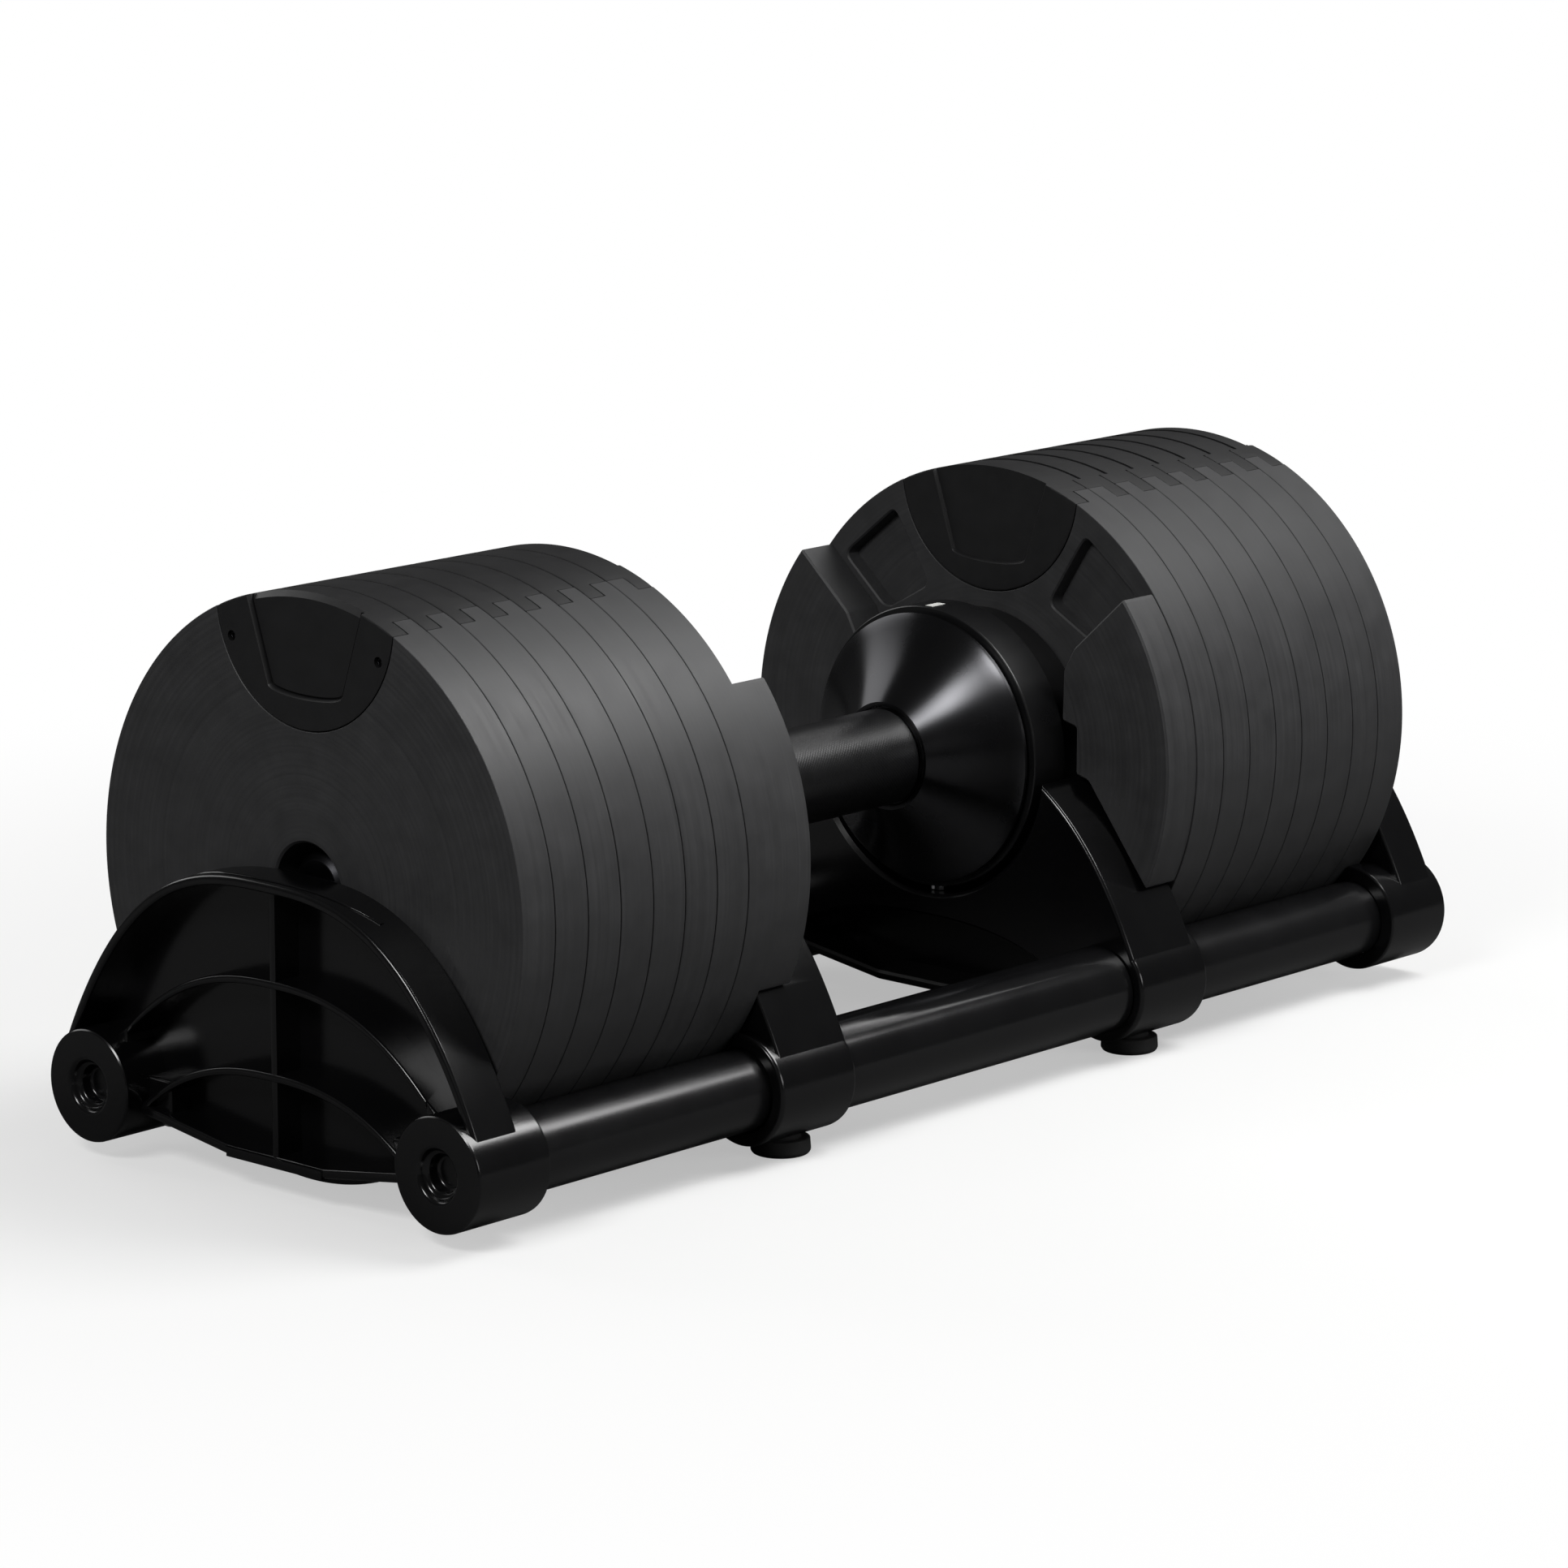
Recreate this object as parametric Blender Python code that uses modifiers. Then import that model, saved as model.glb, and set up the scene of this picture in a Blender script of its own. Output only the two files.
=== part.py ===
"""Adjustable dumbbell docked in its cradle.

The handle runs along X with its middle at X = 0, +Z is up, and Z = 0 is the floor under the feet.
Each end is modelled in one frame that both sides share: "across" is level and square to the
handle, "up" is height above the handle's axis, and "out" is distance from the middle.
"""

import math

import bmesh
import bpy
from mathutils import Matrix, Vector

# ---- Driving dimensions, in metres and degrees ----

FIT = 0.0003  # gap between pieces that seat on each other
RUN = 0.0005  # gap round pieces that turn or slide

PLATE_R = 0.0860
PLATE_PITCH = 0.01327  # one plate and the gap to the next
PLATES_A_SIDE = 8  # the inner plate is fixed to the handle, the others are chosen by the bar
STACK_NEAR = 0.0966  # face of the inner plate, from the middle of the handle
FLOOR_CLEARANCE = 0.0030  # under the lowest point of the plates

GUIDE_RISE = 0.0035  # centre of the guide's round edge, below the plate's rim
GUIDE_FLANGE_R = 0.0365
GUIDE_BODY_R = 0.0300
GUIDE_FLANGE_T = 0.0063
TONGUE_LENGTH = 0.0040
TONGUE_HALF_TOP = 0.0232
TONGUE_HALF_BOTTOM = 0.0150
TONGUE_FOOT = 0.0280  # height of the lower corners, below the plate's rim
TONGUE_BELLY = 0.0025  # sag of its lower edge below the corners
GUIDE_RECESS = 0.0012  # shallow panel in the outermost guide

BAR_R = 0.0100
HOLE_CLEARANCE = 0.0035  # plate's hole round a locking bar
BAR_SETBACK = 0.0035  # tip to the outermost plate's face, all plates held
PIN_R = 0.0018
PIN_CROSS = 0.0150  # how far a cam pin passes the middle when its bar is drawn in
TAIL_LENGTH = 0.0050  # bar behind its pin
TWIST = 280.0  # whole turn of the grip, from heaviest to lightest
CORE_WALL = 0.0017
CAM_WALL = 0.0014
CAM_MARGIN = 0.0060  # cam sleeve beyond its slot's outer end
SLOT_CLEARANCE = 0.0008
GRIP_WALL = 0.0012
GRIP_END_GAP = 0.0008  # grip tube to each flange

HUB_R = 0.0450
HUB_NECK_R = 0.0410
HUB_SPIGOT_R = 0.0240
HUB_FACE = 0.0298  # hub's near face to the inner plate
HUB_RING = 0.0150  # length of the hub's full-size ring
FLANGE_R = 0.0430
FLANGE_NOSE_R = 0.0172
FLANGE_RIM = 0.0015
FLANGE_LENGTH = 0.0190
PLUNGER_R = 0.0030
PLUNGER_LENGTH = 0.0132
PLUNGER_TRAVEL = 0.0040

CHEEK_DEPTH = 0.0144
CHEEK_TOP_ANGLE = 38.6
CHEEK_LOW_ANGLE = -25.6
CHEEK_GAP = 0.0018  # cheek to the hub's neck
CHEEK_CLEARANCE = 0.0010
CHEEK_RIM_INSET = 0.0006  # cheek's rim below the plate's rim
POCKET_DEPTH = 0.0040

RAIL_R = 0.0122
RAIL_BORE_R = 0.0040
RAIL_ANGLE = 47.3  # rail's place under the plate, from straight down
RAIL_SLEEVE_WALL = 0.0012
BOSS_SIDE_WALL = 0.0045
BOSS_WALL = 0.0054  # blind end of a boss, in front of its rail
BOSS_PROUD = 0.0027
BOSS_REACH = 0.0095
BOSS_RECESS_R = 0.0075
BOSS_RECESS = 0.0060
SADDLE_GAP = 0.0025

CREST = 0.0052  # top of an end bracket above the handle's axis
BRACKET_GAP = 0.0020  # end bracket to the outermost plate
BRACKET_DEPTH = 0.0165
BRACKET_WALL = 0.0030
RIB = 0.0024
RIB_SETBACK = 0.0035
RIB_INTO_BOSS = 0.6  # where the ribs end, in boss radii from the rail's axis
INNER_BRACKET_GAP = 0.0006
INNER_BRACKET_DEPTH = 0.0295
ARCH_DEPTH = 0.0135
CLAMP_SCREW_R = 0.0020
CLAMP_HEAD_R = 0.0034
CLAMP_PAD = 0.0050
CLAMP_BESIDE = 0.0044  # screw to the edge of its boss, across
CLAMP_REACH = 0.0120  # screw pad above the lip
CLAMP_HEAD_FOOT = 0.70  # share of the head's radius at its rounded bottom
CLAMP_HEAD_RISE = 0.80  # head's height to its radius
FOOT_R = 0.0090
FOOT_STEM_R = 0.0060
FOOT_STEM = 0.0033

FACETS_RIM = 32  # long way round a plate
FACETS_NOTCH = 8
FACETS_HOLE = 20
FACETS_SADDLE = 40
FACETS_HELIX = 20
FACETS_CHEEK = 10
FACETS_SWEEP = 64
FACETS_ROUND = 24
FACETS_SMALL = 12

# ---- Sizes that follow ----

PLATE_T = PLATE_PITCH - FIT
PLATE_HOLE_R = BAR_R + HOLE_CLEARANCE
STACK_FAR = STACK_NEAR + PLATES_A_SIDE * PLATE_PITCH - FIT
AXIS_HEIGHT = PLATE_R + FLOOR_CLEARANCE
GUIDE_CENTRE = PLATE_R - GUIDE_RISE

TRAVEL = (PLATES_A_SIDE - 1) * PLATE_PITCH
BAR_TIP = STACK_FAR - BAR_SETBACK
PIN_REST = TRAVEL - PIN_CROSS
BAR_TAIL = PIN_REST - TAIL_LENGTH
HALF_ROUND = 2 * (TRAVEL - BAR_TAIL) + 2 * RUN
CORE_IN_R = BAR_R + FIT
CORE_OUT_R = CORE_IN_R + CORE_WALL
CAM_IN_R = CORE_OUT_R + FIT
CAM_OUT_R = CAM_IN_R + CAM_WALL
CAM_HALF = PIN_REST + CAM_MARGIN
GRIP_IN_R = CAM_OUT_R + FIT
GRIP_OUT_R = GRIP_IN_R + GRIP_WALL

HUB_NEAR = STACK_NEAR - HUB_FACE
HUB_FAR = STACK_NEAR + PLATE_T
FLANGE_FAR = HUB_NEAR - RUN - FIT
FLANGE_NEAR = FLANGE_FAR - FLANGE_LENGTH
GRIP_HALF = FLANGE_NEAR - GRIP_END_GAP
SADDLE_R = HUB_R + SADDLE_GAP

BOSS_R = RAIL_R + FIT + BOSS_SIDE_WALL
RAIL_DISTANCE = PLATE_R + RAIL_R + FIT
RAIL_ACROSS = RAIL_DISTANCE * math.sin(math.radians(RAIL_ANGLE))
RAIL_UP = -RAIL_DISTANCE * math.cos(math.radians(RAIL_ANGLE))
PLATE_SWEEP_R = PLATE_R + RUN

END_NEAR = STACK_FAR + BRACKET_GAP
END_FAR = END_NEAR + BRACKET_DEPTH
BOSS_FAR = END_FAR + BOSS_PROUD
RAIL_HALF = BOSS_FAR - BOSS_RECESS - BOSS_WALL - FIT
INNER_FAR = STACK_NEAR - INNER_BRACKET_GAP
INNER_NEAR = INNER_FAR - INNER_BRACKET_DEPTH
BRACKET_HALF = RAIL_ACROSS + BOSS_R
BRACKET_DROP = CREST - RAIL_UP
BOSS_FOOT = RAIL_UP - BOSS_R
RIB_END = RAIL_ACROSS - BOSS_R * RIB_INTO_BOSS
CLAMP_ACROSS = RAIL_ACROSS - BOSS_R - CLAMP_BESIDE

SIDES = {"left": -1, "right": 1}
ALONG_HANDLE = Vector((0, 0, AXIS_HEIGHT))

# ---- Scene and helpers ----

for stale in list(bpy.data.objects):
    bpy.data.objects.remove(stale, do_unlink=True)

PARTS = bpy.data.collections.new("adjustable_dumbbell")
CUTTERS = bpy.data.collections.new("cutters")
bpy.context.scene.collection.children.link(PARTS)
bpy.context.scene.collection.children.link(CUTTERS)


def material(name, colour, roughness, metallic=0.0):
    made = bpy.data.materials.new(name)
    made.use_nodes = True
    shader = made.node_tree.nodes["Principled BSDF"]
    shader.inputs["Base Color"].default_value = (*colour, 1.0)
    shader.inputs["Roughness"].default_value = roughness
    shader.inputs["Metallic"].default_value = metallic
    return made


PLATE_STEEL = material("plate_steel", (0.030, 0.030, 0.031), 0.45, 0.8)
GUIDE_NYLON = material("guide_nylon", (0.010, 0.010, 0.010), 0.40)
CRADLE_PLASTIC = material("cradle_plastic", (0.008, 0.008, 0.008), 0.22)
RAIL_STEEL = material("rail_steel", (0.012, 0.012, 0.013), 0.30, 0.5)
HANDLE_STEEL = material("handle_steel", (0.015, 0.015, 0.016), 0.25, 0.7)
BARE_STEEL = material("bare_steel", (0.55, 0.55, 0.56), 0.30, 1.0)
BAR_STEEL = material("bar_steel", (0.020, 0.020, 0.021), 0.35, 0.8)
SCREW_ZINC = material("screw_zinc", (0.62, 0.62, 0.60), 0.25, 1.0)
FOOT_RUBBER = material("foot_rubber", (0.015, 0.015, 0.015), 0.80)


def place(piece, side, helper):
    """Stands a piece on the handle's axis, looking out to its own side."""
    piece.rotation_euler = (math.pi / 2, 0, side * math.pi / 2)
    piece.location = ALONG_HANDLE
    (CUTTERS if helper else PARTS).objects.link(piece)
    if helper:
        piece.hide_render = True
        piece.display_type = "WIRE"
    return piece


def solid_from(build, name, side, helper):
    """One object from a function that fills a bmesh."""
    shape = bmesh.new()
    build(shape)
    mesh = bpy.data.meshes.new(name)
    shape.to_mesh(mesh)
    shape.free()
    return place(bpy.data.objects.new(name, mesh), side, helper)


def rod(name, radius, near, far, across=0.0, up=0.0, side=1, helper=False, facets=FACETS_ROUND):
    """A cylinder along the handle."""
    middle = Matrix.Translation((across, up, (near + far) / 2))
    return solid_from(
        lambda shape: bmesh.ops.create_cone(
            shape, cap_ends=True, segments=facets, radius1=radius, radius2=radius,
            depth=far - near, matrix=middle,
        ),
        name, side, helper,
    )


def post(name, radius, low, high, across, out, side=1, helper=False, tip_radius=None):
    """An upright cylinder, or a cone where its upper radius is given."""
    upright = Matrix.Rotation(-math.pi / 2, 4, "X")
    middle = Matrix.Translation((across, (low + high) / 2, out))
    upper = radius if tip_radius is None else tip_radius
    return solid_from(
        lambda shape: bmesh.ops.create_cone(
            shape, cap_ends=True, segments=FACETS_SMALL, radius1=radius, radius2=upper,
            depth=high - low, matrix=middle @ upright,
        ),
        name, side, helper,
    )


def block(name, across, up, out, side=1, helper=False):
    """A box from three pairs of limits."""
    limits = (across, up, out)
    middle = Matrix.Translation([(low + high) / 2 for low, high in limits])
    size = Matrix.Diagonal([high - low for low, high in limits] + [1.0])
    return solid_from(
        lambda shape: bmesh.ops.create_cube(shape, size=1.0, matrix=middle @ size),
        name, side, helper,
    )


def turned(name, profile, side=1, helper=False, facets=FACETS_ROUND, closed=True):
    """A turned piece: (out, radius) points that run inwards along the outer side first."""
    mesh = bpy.data.meshes.new(name)
    points = [(radius, 0.0, out) for out, radius in profile]
    edges = [(i, i + 1) for i in range(len(points) - 1)]
    if closed:
        edges.append((len(points) - 1, 0))
    mesh.from_pydata(points, edges, [])
    piece = place(bpy.data.objects.new(name, mesh), side, helper)
    screw = piece.modifiers.new("turn", "SCREW")
    screw.axis = "Z"
    screw.angle = 2 * math.pi
    screw.steps = facets
    screw.render_steps = facets
    screw.use_merge_vertices = True
    screw.merge_threshold = 0.00001
    screw.use_smooth_shade = True
    return piece


def tube(name, outer, inner, near, far, side=1, helper=False):
    profile = [(far, outer), (near, outer), (near, inner), (far, inner)]
    return turned(name, profile, side, helper)


def meshed(curve, name):
    """The welded mesh of a curve object, which is then removed."""
    bpy.context.scene.collection.objects.link(curve)
    bpy.context.view_layer.update()
    evaluated = curve.evaluated_get(bpy.context.evaluated_depsgraph_get())
    mesh = bpy.data.meshes.new_from_object(evaluated)
    mesh.name = name
    shape = bmesh.new()
    shape.from_mesh(mesh)
    bmesh.ops.remove_doubles(shape, verts=shape.verts, dist=0.000001)
    bmesh.ops.recalc_face_normals(shape, faces=shape.faces)
    shape.to_mesh(mesh)
    shape.free()
    bpy.data.objects.remove(curve, do_unlink=True)
    return mesh


def outline(name, loops, near, far, side=1, helper=False):
    """Flat closed outlines of (across, up) points, as a solid from near to far."""
    data = bpy.data.curves.new(name, "CURVE")
    data.dimensions = "2D"
    data.fill_mode = "BOTH"
    data.extrude = (far - near) / 2
    for loop in loops:
        spline = data.splines.new("POLY")
        spline.points.add(len(loop) - 1)
        for point, (across, up) in zip(spline.points, loop):
            point.co = (across, up, 0.0, 1.0)
        spline.use_cyclic_u = True
    mesh = meshed(bpy.data.objects.new(name, data), name)
    mesh.transform(Matrix.Translation((0, 0, (near + far) / 2)))
    return place(bpy.data.objects.new(name, mesh), side, helper)


def shape_with(piece, operation, other, solver="EXACT"):
    step = piece.modifiers.new(other.name, "BOOLEAN")
    step.operation = operation
    step.solver = solver
    step.object = other


def cut(piece, *cutters):
    for cutter in cutters:
        shape_with(piece, "DIFFERENCE", cutter)


def join(piece, *additions):
    for addition in additions:
        shape_with(piece, "UNION", addition)


def finished(piece, surface):
    piece.data.materials.append(surface)
    if piece.data.polygons:
        piece.data.shade_smooth()
        piece.data.set_sharp_from_angle(angle=math.radians(35))
    return piece


def baked(piece):
    """The piece's evaluated mesh, for copies to share. The piece itself is removed."""
    bpy.context.view_layer.update()
    mesh = bpy.data.meshes.new_from_object(
        piece.evaluated_get(bpy.context.evaluated_depsgraph_get())
    )
    bpy.data.objects.remove(piece, do_unlink=True)
    return mesh


def copy_of(mesh, name, side, out, surface):
    """A copy of a shared mesh, set out along the handle."""
    piece = place(bpy.data.objects.new(name, mesh), side, False)
    piece.location.x += side * out
    if not mesh.materials:
        mesh.materials.append(surface)
        mesh.shade_smooth()
        mesh.set_sharp_from_angle(angle=math.radians(35))
    return piece


def arc(radius, start, end, steps, up=0.0):
    """(across, up) points along an arc, angles in radians, both ends included."""
    angles = [start + (end - start) * i / steps for i in range(steps + 1)]
    return [(radius * math.cos(a), up + radius * math.sin(a)) for a in angles]


def circle(radius, facets=FACETS_ROUND, up=0.0):
    return arc(radius, 0, 2 * math.pi, facets, up)[:-1]


def mirrored(points):
    return [(-across, up) for across, up in reversed(points)]


# ---- Plate and guide outlines ----


def notch_corner(notch_r):
    """Where a guide's round edge meets the plate's rim."""
    up = (PLATE_R**2 + GUIDE_CENTRE**2 - notch_r**2) / (2 * GUIDE_CENTRE)
    return math.sqrt(PLATE_R**2 - up**2), up


def notch_edge(notch_r, seat_r):
    """The guide's round edge from the right rim corner, under, to the left one."""
    across, up = notch_corner(notch_r)
    start = math.atan2(up - GUIDE_CENTRE, across)
    return arc(seat_r, start, -math.pi - start, FACETS_NOTCH, GUIDE_CENTRE)


def notched_disc(notch_r):
    """The plate's rim the long way round, and back along the guide's notch."""
    across, up = notch_corner(notch_r)
    corner = math.atan2(up, across)
    rim = arc(PLATE_R, corner, -math.pi - corner, FACETS_RIM)
    return rim + notch_edge(notch_r, notch_r)[::-1][1:-1]


def guide_outline(notch_r):
    """The notch, less its clearance, closed by the plate's own rim."""
    under = notch_edge(notch_r, notch_r - FIT)
    corner = math.atan2(under[0][1], under[0][0])
    return under + arc(PLATE_R, math.pi - corner, corner, 4)[1:-1]


def flange_seat_outline():
    """The wider half of the notch, left open above the rim."""
    under = notch_edge(GUIDE_FLANGE_R, GUIDE_FLANGE_R)
    above = PLATE_R + GUIDE_RISE
    return under + [(under[-1][0], above), (under[0][0], above)]


def tongue_outline(clearance, top_up, top_steps):
    """The dovetail tongue. Its top is level with the rim, or open where it is a pocket."""
    foot = PLATE_R - TONGUE_FOOT
    rim_up = math.sqrt(PLATE_R**2 - TONGUE_HALF_TOP**2)
    slope = (TONGUE_HALF_TOP - TONGUE_HALF_BOTTOM) / (rim_up - foot)
    half_top = TONGUE_HALF_BOTTOM + slope * (top_up - foot) + clearance
    half_foot = TONGUE_HALF_BOTTOM + clearance
    belly = [
        (half_foot * math.cos(a), foot - clearance - TONGUE_BELLY * math.sin(a))
        for a in (math.pi * i / 4 for i in range(5))
    ]
    top = []
    if top_steps:
        corner = math.atan2(top_up, half_top)
        top = arc(PLATE_R - FIT, math.pi - corner, corner, top_steps)[1:-1]
    return belly + [(-half_top, top_up)] + top + [(half_top, top_up)]


TONGUE = tongue_outline(0.0, math.sqrt((PLATE_R - FIT) ** 2 - TONGUE_HALF_TOP**2), 2)
TONGUE_SOCKET = tongue_outline(RUN, PLATE_R + GUIDE_RISE, 0)


def plate_blank(name, hole_r, flange_near, flange_far):
    """A plate with its stepped notch. Out is counted from the plate's own near face."""
    plate = outline(name, [notched_disc(GUIDE_BODY_R), circle(hole_r, FACETS_HOLE)], 0, PLATE_T)
    step = outline(
        name + "_flange_seat", [flange_seat_outline()], flange_near, flange_far, helper=True
    )
    cut(plate, step)
    return plate


def guide_blank(name, flange_near, flange_far, body_near, body_far, tongue=True):
    guide = outline(name, [guide_outline(GUIDE_FLANGE_R)], flange_near, flange_far)
    body = outline(name + "_body", [guide_outline(GUIDE_BODY_R)], body_near, body_far, helper=True)
    join(guide, body)
    if tongue:
        far = PLATE_T + TONGUE_LENGTH
        join(guide, outline(name + "_tongue", [TONGUE], PLATE_T - FIT, far, helper=True))
    return guide


def tongue_pocket(name):
    depth = TONGUE_LENGTH - FIT + RUN
    return outline(name + "_pocket", [TONGUE_SOCKET], -RUN, depth, helper=True)


def loose_plates():
    """The seven plates and guides on each side that the bar picks up or leaves."""
    seat = PLATE_T - GUIDE_FLANGE_T
    plate_mesh = baked(plate_blank("loose_plate", PLATE_HOLE_R, seat, PLATE_T + RUN))
    guide = guide_blank("loose_guide", seat + FIT, PLATE_T, 0, seat + RUN)
    cut(guide, tongue_pocket("loose_guide"))
    guide_mesh = baked(guide)
    last = guide_blank("last_guide", seat + FIT, PLATE_T, 0, seat + RUN, tongue=False)
    recess = outline(
        "last_guide_recess", [TONGUE], PLATE_T - GUIDE_RECESS, PLATE_T + RUN, helper=True
    )
    cut(last, tongue_pocket("last_guide"), recess)
    last_mesh = baked(last)
    for word, side in SIDES.items():
        for number in range(2, PLATES_A_SIDE + 1):
            out = STACK_NEAR + (number - 1) * PLATE_PITCH
            copy_of(plate_mesh, f"plate_{word}_{number}", side, out, PLATE_STEEL)
            shared = last_mesh if number == PLATES_A_SIDE else guide_mesh
            copy_of(shared, f"guide_{word}_{number}", side, out, GUIDE_NYLON)


# ---- Inner plates, fixed to the handle ----

CHEEK_INNER = HUB_NECK_R + CHEEK_GAP
CHEEK_STEPS = (
    (0.0045, 0.0354),
    (0.0004, 0.0277),
    (0.0000, 0.0120),
    (0.0058, 0.0105),
    (0.0058, -0.0045),
    (0.0108, -0.0059),
)
FACE_POCKET = (
    (0.0400, 0.0680),
    (0.0610, 0.0510),
    (0.0430, 0.0350),
    (0.0250, 0.0450),
    (0.0370, 0.0640),
)


def cheek_outline(grown):
    """One raised cheek, from the rim's lower corner round to its stepped inner edge."""
    spread = 2 * grown / PLATE_R
    low = math.radians(CHEEK_LOW_ANGLE) - spread
    top = math.radians(CHEEK_TOP_ANGLE) + spread
    rim = arc(PLATE_R - CHEEK_RIM_INSET + grown, low, top, FACETS_CHEEK)
    return rim + [(CHEEK_INNER + across - grown, up - grown) for across, up in CHEEK_STEPS]


def inner_plates():
    plate = plate_blank("inner_plate", HUB_SPIGOT_R + FIT, -RUN, GUIDE_FLANGE_T)
    cheek = cheek_outline(0.0)
    for name, loop in (("cheek_a", cheek), ("cheek_b", mirrored(cheek))):
        raised = outline(name, [loop], -CHEEK_DEPTH, RUN, helper=True)
        # The raised cheek shares the disc's face, where the exact solver leaves open slivers.
        shape_with(plate, "UNION", raised, "MANIFOLD")
    pocket = list(FACE_POCKET)
    loops = [pocket, mirrored(pocket)]
    pockets = outline("face_pockets", loops, -RUN, POCKET_DEPTH, helper=True)
    shape_with(plate, "DIFFERENCE", pockets, "MANIFOLD")
    plate_mesh = baked(plate)
    guide_mesh = baked(
        guide_blank("inner_guide", 0, GUIDE_FLANGE_T - FIT, GUIDE_FLANGE_T - RUN, PLATE_T)
    )
    for word, side in SIDES.items():
        copy_of(plate_mesh, f"inner_plate_{word}", side, STACK_NEAR, PLATE_STEEL)
        copy_of(guide_mesh, f"inner_guide_{word}", side, STACK_NEAR, GUIDE_NYLON)


# ---- Handle ----


def grip():
    finished(tube("grip_sleeve", GRIP_OUT_R, GRIP_IN_R, -GRIP_HALF, GRIP_HALF), HANDLE_STEEL)
    profile = [
        (FLANGE_FAR, FLANGE_R),
        (FLANGE_FAR - FLANGE_RIM, FLANGE_R),
        (FLANGE_NEAR, FLANGE_NOSE_R),
        (FLANGE_NEAR, GRIP_IN_R),
        (FLANGE_FAR, GRIP_IN_R),
    ]
    for word, side in SIDES.items():
        finished(turned(f"flange_{word}", profile, side), HANDLE_STEEL)


def helix_cutter(name, start, start_angle):
    """A bent rod along one cam slot, a little past the pin at both ends."""
    data = bpy.data.curves.new(name, "CURVE")
    data.dimensions = "3D"
    data.bevel_depth = PIN_R + SLOT_CLEARANCE
    data.bevel_resolution = 1
    data.use_fill_caps = True
    overrun = data.bevel_depth / TRAVEL
    spline = data.splines.new("POLY")
    spline.points.add(FACETS_HELIX)
    toward = -math.copysign(1, start)
    for i, point in enumerate(spline.points):
        share = -overrun + (1 + 2 * overrun) * i / FACETS_HELIX
        angle = math.radians(start_angle + TWIST * share)
        radius = (CAM_IN_R + CAM_OUT_R) / 2
        out = start + toward * TRAVEL * share
        point.co = (radius * math.cos(angle), radius * math.sin(angle), out, 1.0)
    mesh = meshed(bpy.data.objects.new(name, data), name)
    return place(bpy.data.objects.new(name, mesh), 1, True)


def cam_sleeve():
    """The tube under the grip, whose two helical slots draw the bars in."""
    sleeve = tube("cam_sleeve", CAM_OUT_R, CAM_IN_R, -CAM_HALF, CAM_HALF)
    cut(sleeve, helix_cutter("left_cam_slot", -PIN_REST, 90.0))
    cut(sleeve, helix_cutter("right_cam_slot", PIN_REST, -90.0))
    finished(sleeve, BARE_STEEL)


def core_tube():
    """The fixed tube that carries the hubs. Its straight slots stop the bars from turning."""
    core = tube("core_tube", CORE_OUT_R, CORE_IN_R, -HUB_FAR, HUB_FAR)
    half = PIN_R + RUN
    for word, side in SIDES.items():
        ends = sorted((side * (PIN_REST + PIN_R + RUN), -side * (PIN_CROSS + PIN_R + RUN)))
        heights = sorted((-side * CORE_IN_R / 2, -side * (CORE_OUT_R + RUN)))
        cut(core, block(f"{word}_key_slot", (-half, half), heights, ends, helper=True))
    finished(core, BARE_STEEL)


def locking_bars():
    """Each bar passes through the plates it holds. The tails are half round, to pass each other."""
    chamfer = BAR_R / 5
    profile = [
        (BAR_TIP, 0.0),
        (BAR_TIP, BAR_R - chamfer),
        (BAR_TIP - chamfer, BAR_R),
        (BAR_TAIL, BAR_R),
        (BAR_TAIL, 0.0),
    ]
    for word, side in SIDES.items():
        bar = turned(f"locking_bar_{word}", profile, side, closed=False)
        away = sorted((side * -RUN / 2, side * (BAR_R + RUN)))
        tail = (BAR_TAIL - RUN, BAR_TAIL + HALF_ROUND)
        cut(bar, block(f"{word}_tail_flat", (-BAR_R - RUN, BAR_R + RUN), away, tail, side, True))
        reach = sorted((-side * BAR_R / 2, -side * (CAM_OUT_R - FIT)))
        join(bar, post(f"{word}_cam_pin", PIN_R, *reach, 0.0, PIN_REST, side, True))
        finished(bar, BAR_STEEL)


def hubs():
    """A hub bolts the inner plate to the core tube and houses the lock plunger."""
    neck = HUB_NEAR + HUB_RING
    shoulder = STACK_NEAR - FIT
    bore = CORE_OUT_R + FIT
    counterbore = CAM_OUT_R + RUN
    profile = [
        (HUB_FAR, HUB_SPIGOT_R),
        (shoulder, HUB_SPIGOT_R),
        (shoulder, HUB_NECK_R),
        (neck, HUB_NECK_R),
        (neck, HUB_R),
        (HUB_NEAR, HUB_R),
        (HUB_NEAR, counterbore),
        (CAM_HALF + RUN, counterbore),
        (CAM_HALF + RUN, bore),
        (HUB_FAR, bore),
    ]
    out = HUB_NEAR + HUB_RING / 2
    low = -(SADDLE_R - FIT)
    high = low + PLUNGER_LENGTH
    for word, side in SIDES.items():
        hub = turned(f"hub_{word}", profile, side, facets=FACETS_ROUND)
        bored = post(
            f"{word}_plunger_bore", PLUNGER_R + FIT, low - PLUNGER_TRAVEL, high + RUN,
            0.0, out, side, True,
        )
        cut(hub, bored)
        finished(hub, HANDLE_STEEL)
        finished(post(f"lock_plunger_{word}", PLUNGER_R, low, high, 0.0, out, side), BARE_STEEL)


# ---- Cradle ----

CREST_CURVE = (2.8, 0.9)  # powers that shape the shoulder
RIB_CURVE = (0.83, 2.5)  # fall and power of a rib towards the boss
ARCH_CURVE = (0.50, 2.5)
RIB_STARTS = (0.41, 0.79)  # height of each rib at the middle, down from the crest
ARCH_START = 0.83
LIP_MIDDLE = 1.17
LIP_SIDE = 1.10
LIP_REACH = 0.60


def bracket_point(share, drop):
    """From shares of the bracket's half width and of its drop to (across, up)."""
    return share * BRACKET_HALF, CREST - drop * BRACKET_DROP


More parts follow.
